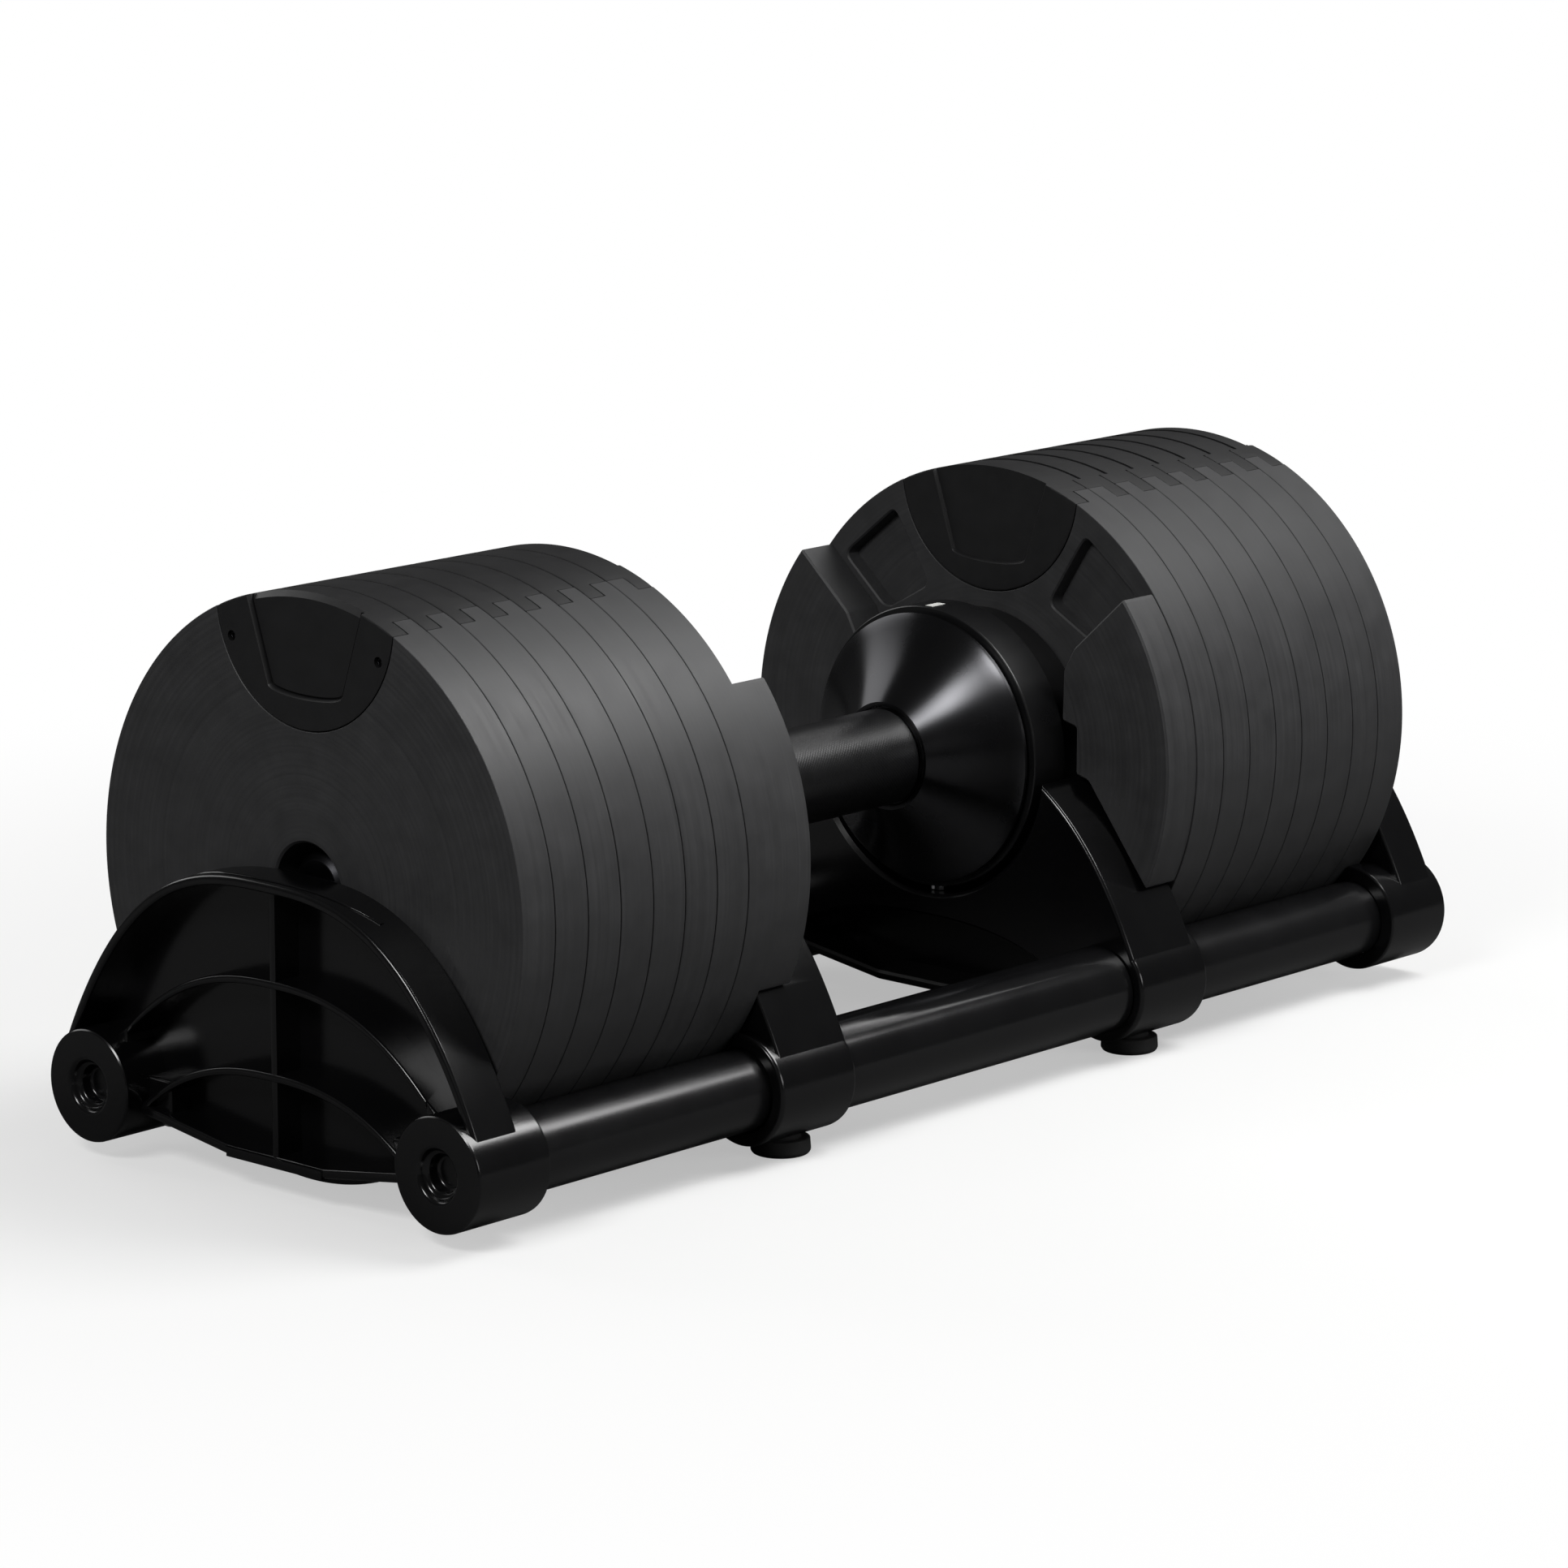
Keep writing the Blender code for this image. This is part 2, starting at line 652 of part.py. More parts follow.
def crest_line(inset=0.0, steps=9):
    """The bracket's shoulder from the crest to the boss, or a line inside it."""
    power, root = CREST_CURVE
    line = []
    for i in range(steps + 1):
        share = math.sin(math.pi / 2 * i / steps)
        drop = 1 - (1 - share**power) ** root
        across, up = bracket_point(share, drop)
        toward = math.atan2(up + BRACKET_DROP, across)
        line.append((max(0.0, across - inset * math.cos(toward)), up - inset * math.sin(toward)))
    return line


def rib_line(start, curve, reach, inset=0.0, steps=5):
    fall, power = curve
    shares = [reach * i / steps for i in range(steps + 1)]
    line = [bracket_point(share, start + fall * share**power) for share in shares]
    return [(across, up - inset) for across, up in line]


def lip_up(across):
    """Height of the bracket's underside, which falls from each boss to the middle."""
    middle = bracket_point(0.0, LIP_MIDDLE)[1]
    reach, side = bracket_point(LIP_REACH, LIP_SIDE)
    return middle + (side - middle) * abs(across) / reach


def bracket_blank(name, near, far, side):
    reach = bracket_point(LIP_REACH, 0.0)[0]
    half = crest_line() + [(reach, lip_up(reach))]
    return outline(name, [half + [(0.0, lip_up(0.0))] + mirrored(half)[:-1]], near, far, side)


def off_centre(line, gap):
    """A line from the middle outwards, starting beside the central rib."""
    return [(gap, line[0][1])] + [point for point in line if point[0] > gap]


def bay(upper, lower):
    """One open bay between two ribs, on each side of the central rib."""
    loop = off_centre(upper, RIB / 2) + off_centre(lower, RIB / 2)[::-1]
    return [loop, mirrored(loop)]


def bosses(bracket, near, far, sweep_near, sweep_far, side):
    """Round bosses over the rails, cleared where the plates come down."""
    for number, across in enumerate((-RAIL_ACROSS, RAIL_ACROSS)):
        name = f"{bracket.name}_boss_{number}"
        join(bracket, rod(name, BOSS_R, near, far, across, RAIL_UP, side, True))
    sweep = rod(
        bracket.name + "_plate_sweep", PLATE_SWEEP_R, sweep_near, sweep_far,
        side=side, helper=True, facets=FACETS_SWEEP,
    )
    cut(bracket, sweep)


def end_brackets():
    rim = crest_line(BRACKET_WALL)
    reach = RIB_END / BRACKET_HALF
    ribs = [rib_line(start, RIB_CURVE, reach) for start in RIB_STARTS]
    under = [rib_line(start, RIB_CURVE, reach, RIB) for start in RIB_STARTS]
    bays = bay(rim, ribs[0]) + bay(under[0], ribs[1])
    last = [(a, up) for a, up in under[1] if up > lip_up(a) + BRACKET_WALL + RIB / 2]
    bays += bay(last, [(a, lip_up(a) + BRACKET_WALL) for a, up in last])
    corner = (BRACKET_HALF - BRACKET_WALL, BOSS_FOOT)
    inside_rim = rim + [corner] + mirrored(rim + [corner])[:-1]
    past = END_FAR + RUN
    for word, side in SIDES.items():
        bracket = bracket_blank(f"end_bracket_{word}", END_NEAR, END_FAR, side)
        name = bracket.name
        hollow = outline(name + "_bays", bays, END_NEAR + BRACKET_WALL, past, side, True)
        rib_faces = outline(
            name + "_rib_faces", [inside_rim], END_FAR - RIB_SETBACK, past, side, True
        )
        cut(bracket, hollow, rib_faces)
        sweep = (END_NEAR - 2 * BOSS_REACH, END_NEAR - BRACKET_GAP / 2)
        bosses(bracket, END_NEAR - BOSS_REACH, BOSS_FAR, *sweep, side)
        for number, across in enumerate((-RAIL_ACROSS, RAIL_ACROSS)):
            place_of = (across, RAIL_UP, side, True)
            socket = rod(f"{name}_socket_{number}", RAIL_R + FIT, 0, RAIL_HALF + FIT, *place_of)
            recess_near = BOSS_FAR - BOSS_RECESS
            recess = rod(
                f"{name}_recess_{number}", BOSS_RECESS_R, recess_near, BOSS_FAR + RUN, *place_of
            )
            cut(bracket, socket, recess)
        clamp_screws(bracket, word, side)
        finished(bracket, CRADLE_PLASTIC)


def clamp_screws(bracket, word, side):
    """A screw up through the lip beside each boss pinches the boss on its rail."""
    under = lip_up(CLAMP_ACROSS)
    top = under + CLAMP_REACH
    bore_top = top - CLAMP_SCREW_R
    out = END_NEAR + BRACKET_DEPTH / 3
    depth = (out - CLAMP_PAD, out + CLAMP_PAD)
    seat = under - 2 * FIT
    head = CLAMP_HEAD_R * CLAMP_HEAD_RISE
    for number, end in enumerate(("front", "back")):
        # Front is -Y: on the right side that is negative across, on the left side positive.
        where = CLAMP_ACROSS * side * (1 if end == "back" else -1)
        pad = (where - CLAMP_PAD, where + CLAMP_PAD)
        tag = f"{bracket.name}_clamp_{number}"
        join(bracket, block(tag + "_pad", pad, (under - FIT, top), depth, side, True))
        hole = (under - RUN - FIT, bore_top, where, out, side, True)
        cut(bracket, post(tag + "_bore", CLAMP_SCREW_R + FIT, *hole))
        screw = post(
            f"clamp_screw_{word}_{end}", CLAMP_HEAD_R * CLAMP_HEAD_FOOT, seat - head, seat, where,
            out, side, tip_radius=CLAMP_HEAD_R,
        )
        length = (seat - head / 2, bore_top - RUN, where, out, side, True)
        join(screw, post(tag + "_shank", CLAMP_SCREW_R, *length))
        finished(screw, SCREW_ZINC)


def inner_brackets():
    arch_reach = (RAIL_ACROSS - BOSS_R) / BRACKET_HALF
    arch = rib_line(ARCH_START, ARCH_CURVE, arch_reach)
    spring = arch[-1][0]
    half = arch + [(spring, lip_up(spring) + BRACKET_WALL)]
    arch_loop = half + [(0.0, lip_up(0.0) + BRACKET_WALL)] + mirrored(half)[:-1]
    cheek = cheek_outline(CHEEK_CLEARANCE)
    for word, side in SIDES.items():
        bracket = bracket_blank(f"inner_bracket_{word}", INNER_NEAR, INNER_FAR, side)
        name = bracket.name
        saddle = rod(
            name + "_saddle", SADDLE_R, INNER_NEAR - RUN, INNER_FAR + RUN,
            side=side, helper=True, facets=FACETS_SADDLE,
        )
        pocket = outline(
            name + "_arch", [arch_loop], INNER_NEAR - RUN, INNER_NEAR + ARCH_DEPTH, side, True
        )
        cheek_near = STACK_NEAR - CHEEK_DEPTH - CHEEK_CLEARANCE
        cheeks = outline(
            name + "_cheek_room", [cheek, mirrored(cheek)], cheek_near, INNER_FAR + RUN, side, True
        )
        cut(bracket, saddle, pocket, cheeks)
        sweep = (INNER_FAR + INNER_BRACKET_GAP / 2, STACK_NEAR + PLATE_T)
        bosses(bracket, INNER_NEAR, INNER_FAR + BRACKET_WALL, *sweep, side)
        for number, across in enumerate((-RAIL_ACROSS, RAIL_ACROSS)):
            where = (across, RAIL_UP, side, True)
            cut(bracket, rod(f"{name}_bore_{number}", RAIL_R + FIT, 0, STACK_FAR, *where))
        feet(bracket, word, side)
        finished(bracket, CRADLE_PLASTIC)


def feet(bracket, word, side):
    """A rubber foot plugs into the underside of each inner boss."""
    out = (INNER_NEAR + INNER_FAR) / 2
    floor = -AXIS_HEIGHT
    top = BOSS_FOOT - FIT
    for number, end in enumerate(("front", "back")):
        where = RAIL_ACROSS * side * (1 if end == "back" else -1)
        tag = f"{bracket.name}_foot_{number}"
        stem_top = BOSS_FOOT + FOOT_STEM
        cut(bracket, post(tag + "_seat", FOOT_STEM_R + FIT, floor, stem_top, where, out, side, True))
        foot = post(f"foot_{word}_{end}", FOOT_R, floor, top, where, out, side)
        stem = post(
            tag + "_stem", FOOT_STEM_R, (floor + top) / 2, stem_top - FIT, where, out, side, True
        )
        join(foot, stem)
        finished(foot, FOOT_RUBBER)


def rails():
    """Two bars, drilled and tapped end to end, and the plain sleeves over their middles."""
    sleeve_in = RAIL_R + FIT
    sleeve_half = INNER_NEAR - FIT
    for end, across in (("front", -RAIL_ACROSS), ("back", RAIL_ACROSS)):
        pieces = (
            (f"rail_{end}", RAIL_R, RAIL_BORE_R, RAIL_HALF, RAIL_STEEL),
            (f"rail_sleeve_{end}", sleeve_in + RAIL_SLEEVE_WALL, sleeve_in, sleeve_half, RAIL_STEEL),
        )
        for name, outer, inner, half, surface in pieces:
            piece = tube(name, outer, inner, -half, half)
            piece.location += Vector((0, across, RAIL_UP))
            finished(piece, surface)


loose_plates()
inner_plates()
grip()
cam_sleeve()
core_tube()
locking_bars()
hubs()
end_brackets()
inner_brackets()
rails()
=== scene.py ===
"""The looks of the adjustable dumbbell in its cradle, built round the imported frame.

Lengths are metres. Each end is drawn in one frame that both sides share, as in the design:
"across" is level and square to the handle, "up" is height above the handle's axis, and "out" is
distance from the middle of the handle. Outlines are (across, up) points.
"""

import math

import bmesh
import bpy
from mathutils import Matrix, Vector


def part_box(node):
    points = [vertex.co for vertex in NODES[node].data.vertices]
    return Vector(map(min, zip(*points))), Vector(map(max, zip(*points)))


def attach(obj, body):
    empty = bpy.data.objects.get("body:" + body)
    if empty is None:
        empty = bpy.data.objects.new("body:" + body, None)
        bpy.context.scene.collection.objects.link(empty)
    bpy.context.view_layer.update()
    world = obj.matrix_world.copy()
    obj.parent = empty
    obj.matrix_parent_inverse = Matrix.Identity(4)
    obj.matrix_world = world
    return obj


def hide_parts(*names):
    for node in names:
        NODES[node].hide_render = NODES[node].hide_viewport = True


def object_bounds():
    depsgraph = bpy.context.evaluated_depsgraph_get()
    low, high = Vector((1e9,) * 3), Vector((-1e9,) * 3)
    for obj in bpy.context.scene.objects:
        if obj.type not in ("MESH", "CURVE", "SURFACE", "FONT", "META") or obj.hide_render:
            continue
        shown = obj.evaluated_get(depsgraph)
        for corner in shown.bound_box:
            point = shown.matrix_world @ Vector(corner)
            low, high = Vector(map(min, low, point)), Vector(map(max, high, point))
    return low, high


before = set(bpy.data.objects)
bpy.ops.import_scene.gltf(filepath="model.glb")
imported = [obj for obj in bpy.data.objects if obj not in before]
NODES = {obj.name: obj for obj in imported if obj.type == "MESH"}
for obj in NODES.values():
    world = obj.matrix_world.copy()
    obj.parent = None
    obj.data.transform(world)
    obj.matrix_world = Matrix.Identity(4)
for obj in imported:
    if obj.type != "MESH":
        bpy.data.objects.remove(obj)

CAD_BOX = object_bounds()
SIDES = {"left": -1, "right": 1}
ENDS = {"front": -1, "back": 1}

# ---- Places and sizes read from the frame ----

GRIP_LOW, GRIP_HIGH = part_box("grip_sleeve")
AXIS_HEIGHT = (GRIP_LOW.z + GRIP_HIGH.z) / 2


def reach(node):
    """How near the middle of the handle a node starts, and how far out it ends."""
    low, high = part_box(node)
    ends = sorted((abs(low.x), abs(high.x)))
    return ends if low.x * high.x > 0 else [0.0, ends[1]]


def radius_of(node, across=0.0, up=0.0):
    """The largest radius of a node about an axis along the handle."""
    points = [vertex.co for vertex in NODES[node].data.vertices]
    return max(math.hypot(p.y - across, p.z - AXIS_HEIGHT - up) for p in points)


def inner_radius_of(node):
    points = [vertex.co for vertex in NODES[node].data.vertices]
    return min(math.hypot(p.y, p.z - AXIS_HEIGHT) for p in points)


PLATE_R = radius_of("plate_right_8")
PLATE_T = reach("plate_right_8")[1] - reach("plate_right_8")[0]
PLATE_HOLE_R = inner_radius_of("plate_right_8")
STACK_NEAR = reach("plate_right_2")[0] - (reach("plate_right_3")[0] - reach("plate_right_2")[0])
STACK_FAR = reach("plate_right_8")[1]

GRIP_HALF = reach("grip_sleeve")[1]
GRIP_R = radius_of("grip_sleeve")
GRIP_BORE = inner_radius_of("grip_sleeve")
FLANGE_NEAR, FLANGE_FAR = reach("flange_right")
FLANGE_R = radius_of("flange_right")
HUB_NEAR, HUB_FAR = reach("hub_right")
HUB_R = radius_of("hub_right")
HUB_BORE = inner_radius_of("hub_right")
BAR_TAIL, BAR_TIP = reach("locking_bar_right")

RAIL_LOW, RAIL_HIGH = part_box("rail_back")
RAIL_ACROSS = (RAIL_LOW.y + RAIL_HIGH.y) / 2
RAIL_UP = (RAIL_LOW.z + RAIL_HIGH.z) / 2 - AXIS_HEIGHT
RAIL_R = radius_of("rail_back", RAIL_ACROSS, RAIL_UP)
RAIL_HALF = reach("rail_back")[1]
SLEEVE_R = radius_of("rail_sleeve_back", RAIL_ACROSS, RAIL_UP)
SLEEVE_HALF = reach("rail_sleeve_back")[1]

BOSS_NEAR, BOSS_FAR = reach("end_bracket_right")
BRACKET_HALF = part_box("end_bracket_right")[1].y
BOSS_R = BRACKET_HALF - RAIL_ACROSS
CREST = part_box("end_bracket_right")[1].z - AXIS_HEIGHT
BRACKET_DROP = CREST - RAIL_UP
INNER_NEAR, INNER_BOSS_FAR = reach("inner_bracket_right")

# ---- Details, in metres and degrees ----

FIT = 0.0003  # gap between pieces that seat on each other
PAST = 0.0010  # how far a cutter runs past the surface it opens

GUIDE_CENTRE = PLATE_R - 0.0035
GUIDE_FLANGE_R = 0.0365
GUIDE_BODY_R = 0.0300
GUIDE_FLANGE_T = 0.0063
GUIDE_ROUND = 0.0004
TONGUE_LENGTH = 0.0040
TONGUE_HALF_TOP = 0.0232
TONGUE_HALF_BOTTOM = 0.0150
TONGUE_FOOT = 0.0280
TONGUE_BELLY = 0.0025
PANEL_DEPTH = 0.0012  # recessed panel of the outermost guide
PANEL_DRAFT = 0.0003
PANEL_GROOVE = 0.0009
PANEL_SLOPE = 0.0017
GUIDE_SCREW_AT = (0.0300, 0.0700)
GUIDE_SCREW_R = 0.0012
GUIDE_SCREW_HEAD = 0.0007  # depths below the plate's face
GUIDE_SCREW_SEAT = 0.0016
GUIDE_SCREW_FOOT = 0.0030
GUIDE_SCREW_ROUND = 0.0003
GUIDE_SOCKET_R = 0.0007
GUIDE_SOCKET_DEPTH = 0.0011

OUTERMOST = 8  # the last plate of each side, counted from the handle
PLATE_CHAMFER = 0.00016
CHEEK_DEPTH = STACK_NEAR - reach("inner_plate_right")[0]
CHEEK_TOP_ANGLE = 38.6
CHEEK_LOW_ANGLE = -25.6
CHEEK_INNER = 0.0428
CHEEK_RIM_INSET = 0.0004
CHEEK_CORNER = 0.0008
CHEEK_ROUND = 0.0006
CHEEK_ROOM = 0.0010  # clearance that the inner bracket leaves round a cheek
CHEEK_STEPS = (
    (0.0045, 0.0354),
    (0.0004, 0.0277),
    (0.0000, 0.0120),
    (0.0058, 0.0105),
    (0.0058, -0.0045),
    (0.0108, -0.0059),
)
FACE_POCKET = (
    (0.0400, 0.0680),
    (0.0610, 0.0510),
    (0.0430, 0.0350),
    (0.0250, 0.0450),
    (0.0370, 0.0640),
)
POCKET_DEPTH = 0.0046
POCKET_CORNER = 0.0035
POCKET_DRAFT = 0.0008

HUB_NECK_R = 0.0410
HUB_RING = 0.0150
HUB_SPIGOT_R = 0.0240
HUB_RECESS = 0.0040  # how much wider the ring's mouth is than the bore
MARK_HALF_ANGLE = 1.9
MARK_REACH = (0.0012, 0.0072)  # from the ring's near face
MARK_SUNK = 0.0004
MARK_PROUD = 0.00012
FLANGE_NOSE_R = 0.0172
FLANGE_NOSE = ((0.0010, 0.0002), (0.0002, 0.0006), (0.0, 0.0012))  # (out, above the grip)
FLANGE_RIM = 0.0019
FLANGE_DISH = 0.0014  # how far the cone's side hollows below a straight line
FLANGE_DISH_TOWARD = (0.8, 0.6)  # square to that side: (out, inwards)
FLANGE_STEPS = 14
CENTRE_DRILL_R = 0.0016
CENTRE_DRILL_DEPTH = 0.0022
CAM_PIN_R = 0.0018
CAM_PIN_OUT = 0.0050

END_NEAR = STACK_FAR + 0.0020
END_FAR = END_NEAR + 0.0165
WALL = 0.0030
BURIED = 0.0001  # rounding of an edge that ends inside another body
RIB = 0.0024
RIB_ROUND = 0.0008
RIB_SETBACK = 0.0035
SPINE_SETBACK = 0.0003
RIB_END = RAIL_ACROSS - BOSS_R * 0.6
INNER_FAR = STACK_NEAR - 0.0006
ARCH_DEPTH = 0.0135
SADDLE_R = 0.0475
CREST_CURVE = (2.8, 0.9)  # powers that shape the shoulder
RIB_CURVE = (0.83, 2.5)  # fall and power of a rib towards the boss
ARCH_CURVE = (0.50, 2.5)
RIB_STARTS = (0.41, 0.79)
ARCH_START = 0.83
LIP_MIDDLE = 1.17
LIP_SIDE = 1.10
LIP_REACH = 0.60
LIP_END = 0.0600  # how far across the shelf under the ribs reaches
LIP_PAD_HALF = 0.0198
LIP_PAD_DROP = 0.0020
LIP_PAD_RISE = 0.0012
LIP_PAD_DEPTH = 0.0050
LIP_PAD_PROUD = 0.0006
CREST_PAD_HALF = 0.0430
CREST_PAD_WIDE = 0.0058
CREST_PAD_POINT = 2.6  # power that draws its ends to points
CREST_PAD_RISE = 0.0004
CREST_PAD_SUNK = 0.0012
CREST_PAD_BEVEL = 0.94
BOSS_ROUND = 0.0011
BOSS_RECESS = (  # (depth, radius) from the end face inwards
    (0.0, 0.0078),
    (0.0022, 0.0070),
    (0.0026, 0.0056),
    (0.0060, 0.0052),
    (0.0060, 0.0),
)
PINCH_GAP = 0.0044  # from the boss to the middle of the lug beside it
PINCH_HALF = 0.0050
PINCH_TALL = 0.0120
PINCH_DEPTH = 0.0105
SCREW_SLOT = (0.0004, 0.0019)
SCREW_SLOT_DEPTH = 0.0011
RAIL_BORE = 0.0040
FOOT_NECK = 0.0033

# ---- Mesh helpers ----

ROUND = 96  # steps round a turned piece
RIM = 176  # steps round a plate
FINE = 40  # steps along a curved outline
SHARP_ANGLE = 32.0  # an edge turning more than this shades as a sharp one


def piece_from(name, shape):
    bmesh.ops.recalc_face_normals(shape, faces=shape.faces)
    if shape.calc_volume(signed=True) < 0:
        bmesh.ops.reverse_faces(shape, faces=shape.faces)
    mesh = bpy.data.meshes.new(name)
    shape.to_mesh(mesh)
    shape.free()
    piece = bpy.data.objects.new(name, mesh)
    bpy.context.scene.collection.objects.link(piece)
    return piece


def settled(piece):
    """The piece with its modifiers worked into its mesh."""
    bpy.context.view_layer.update()
    evaluated = piece.evaluated_get(bpy.context.evaluated_depsgraph_get())
    mesh = bpy.data.meshes.new_from_object(evaluated)
    piece.modifiers.clear()
    piece.data = mesh
    return piece


def carved(piece, operation, *others):
    """Cuts, joins or trims a piece with others, which are used up."""
    for other in others:
        step = piece.modifiers.new(operation, "BOOLEAN")
        step.operation = operation
        step.solver = "MANIFOLD"
        step.object = other
    settled(piece)
    for other in others:
        bpy.data.objects.remove(other, do_unlink=True)
    return piece


def cut(piece, *others):
    return carved(piece, "DIFFERENCE", *others)


def joined(piece, *others):
    return carved(piece, "UNION", *others)


def grown(loop, by):
    """An anticlockwise outline moved outwards, square to its edges."""
    moved = []
    for i, here in enumerate(loop):
        before = (Vector(here) - Vector(loop[i - 1])).normalized()
        after = (Vector(loop[(i + 1) % len(loop)]) - Vector(here)).normalized()
        square = Vector((before.y + after.y, -before.x - after.x)).normalized()
        share = max(0.4, square.dot(Vector((after.y, -after.x))))
        moved.append(tuple(Vector(here) + square * (by / share)))
    return moved


def anticlockwise(loop):
    area = sum(a[0] * b[1] - b[0] * a[1] for a, b in zip(loop, loop[1:] + loop[:1]))
    return loop if area > 0 else loop[::-1]


def extruded(name, loop, profile):
    """A closed solid on an outline. Its profile is (grow, out) steps, so edges can be rounded."""
    loop = anticlockwise(loop)
    shape = bmesh.new()
    rings = [[shape.verts.new((*p, out)) for p in grown(loop, grow)] for grow, out in profile]
    for lower, upper in zip(rings, rings[1:]):
        for i in range(len(loop)):
            shape.faces.new((lower[i - 1], lower[i], upper[i], upper[i - 1]))
    caps = [shape.faces.new(rings[0][::-1]), shape.faces.new(rings[-1])]
    shape.normal_update()
    bmesh.ops.triangulate(shape, faces=caps, ngon_method="EAR_CLIP")
    return piece_from(name, shape)


def edges(near, far, near_r, far_r, steps=3):
    """A solid's profile from near to far, with both rims rounded, or cut off in one step."""
    turns = [math.pi / 2 * i / steps for i in range(steps + 1)]
    start = [(near_r * (math.sin(a) - 1), near + near_r * (1 - math.cos(a))) for a in turns]
    end = [(far_r * (math.cos(a) - 1), far + far_r * (math.sin(a) - 1)) for a in turns]
    return start + end


def mouth_far(bottom, surface, chamfer, draft=0.0):
    """A cutter's profile that opens, with a chamfer, at its far end."""
    return [(-draft, bottom), (0.0, surface - chamfer), (chamfer + PAST, surface + PAST)]


def mouth_near(surface, bottom, chamfer, draft=0.0):
    return [(chamfer + PAST, surface - PAST), (0.0, surface + chamfer), (-draft, bottom)]


def softened(points, radius, steps=3, closed=True):
    """A path with its corners rounded off."""
    made = []
    for i, here in enumerate(points):
        if not closed and i in (0, len(points) - 1):
            made.append(tuple(here))
            continue
        here = Vector(here)
        before = Vector(points[i - 1]) - here
        after = Vector(points[(i + 1) % len(points)]) - here
        length = min(radius, 0.45 * before.length, 0.45 * after.length)
        start = here + before.normalized() * length
        end = here + after.normalized() * length
        for t in (i / steps for i in range(steps + 1)):
            made.append(tuple(start * (1 - t) ** 2 + here * 2 * t * (1 - t) + end * t**2))
    return made


def turned(name, profile, steps=ROUND, across=0.0, up=0.0):
    """A turned solid from a closed profile of (out, radius) points."""
    shape = bmesh.new()
    rings = []
    for out, radius in profile:
        if radius < 1e-6:
            rings.append([shape.verts.new((across, up, out))] * steps)
            continue
        angles = [2 * math.pi * i / steps for i in range(steps)]
        rings.append([
            shape.verts.new((across + radius * math.cos(a), up + radius * math.sin(a), out))
            for a in angles
        ])
    for lower, upper in zip(rings, rings[1:] + rings[:1]):
        for i in range(steps):
            corners = (lower[i - 1], lower[i], upper[i], upper[i - 1])
            distinct = list(dict.fromkeys(corners))
            if len(distinct) > 2:
                shape.faces.new(distinct)
    return piece_from(name, shape)


def rod(name, radius, near, far, across=0.0, up=0.0, flare=0.0):
    """A plain turned cutter. A flare opens both of its ends."""
    profile = [(near, 0.0), (near, radius + flare)]
    if flare:
        profile += [(near + flare, radius), (far - flare, radius)]
    return turned(name, profile + [(far, radius + flare), (far, 0.0)], across=across, up=up)


def block(name, across, up, out):
    shape = bmesh.new()
    limits = (across, up, out)
    middle = Matrix.Translation([(low + high) / 2 for low, high in limits])
    size = Matrix.Diagonal([high - low for low, high in limits] + [1.0])
    bmesh.ops.create_cube(shape, size=1.0, matrix=middle @ size)
    return piece_from(name, shape)


def arc(radius, start, end, steps, up=0.0, across=0.0):
    angles = [start + (end - start) * i / steps for i in range(steps + 1)]
    return [(across + radius * math.cos(a), up + radius * math.sin(a)) for a in angles]


def mirrored(points):
    return [(-across, up) for across, up in reversed(points)]


def copied(name, pattern, out):
    """A copy of a piece further out, so that each plate's own marks fall differently."""
    mesh = pattern.data.copy()
    mesh.transform(Matrix.Translation((0, 0, out)))
    piece = bpy.data.objects.new(name, mesh)
    bpy.context.scene.collection.objects.link(piece)
    return piece


def finished(piece, body, finish, nodes=()):
    """Gives a piece its finish and its shading, and lets it ride on a body."""
    piece.data.materials.clear()
    piece.data.materials.append(finish)
    piece.data.shade_smooth()
    piece.data.set_sharp_from_angle(angle=math.radians(SHARP_ANGLE))
    weighted = piece.modifiers.new("even_shading", "WEIGHTED_NORMAL")
    weighted.keep_sharp = True
    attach(piece, body)
    if nodes:
        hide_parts(*nodes)


def placed(piece, body, side, finish, nodes=(), across=0.0, up=0.0):
    """Stands a piece on its side of the handle, and finishes it."""
    piece.rotation_euler = (math.pi / 2, 0, side * math.pi / 2)
    piece.location = (0, across, AXIS_HEIGHT + up)
    finished(piece, body, finish, nodes)


# ---- Materials ----


def linear(colour):
    """An sRGB hex colour as the linear values that Blender takes."""
    channels = [int(colour[i : i + 2], 16) / 255 for i in (1, 3, 5)]
    return [c / 12.92 if c <= 0.04045 else ((c + 0.055) / 1.055) ** 2.4 for c in channels] + [1.0]


def per_mm(size):
    """Pattern scale, in repeats a metre, for a feature of this many millimetres."""
    return 1000.0 / size


def add(tree, kind, sockets=None, **settings):
    """One node. Each socket takes a value or another node's output."""
    node = tree.nodes.new("ShaderNode" + kind)
    for name, value in settings.items():
        setattr(node, name, value)
    for name, value in (sockets or {}).items():
        if isinstance(value, bpy.types.NodeSocket):
            tree.links.new(value, node.inputs[name])
        else:
            node.inputs[name].default_value = value
    return node


def surface(name, roughness, metallic=0.0, **fixed):
    """A new material: its tree, its shader, and the piece's own coordinates in metres."""
    made = bpy.data.materials.new(name)
    made.use_nodes = True
    tree = made.node_tree
    shader = tree.nodes["Principled BSDF"]
    shader.inputs["Roughness"].default_value = roughness
    shader.inputs["Metallic"].default_value = metallic
    for socket, value in fixed.items():
        shader.inputs[socket.replace("_", " ")].default_value = value
    place = add(tree, "TexCoord").outputs["Object"]
    return made, tree, shader, place


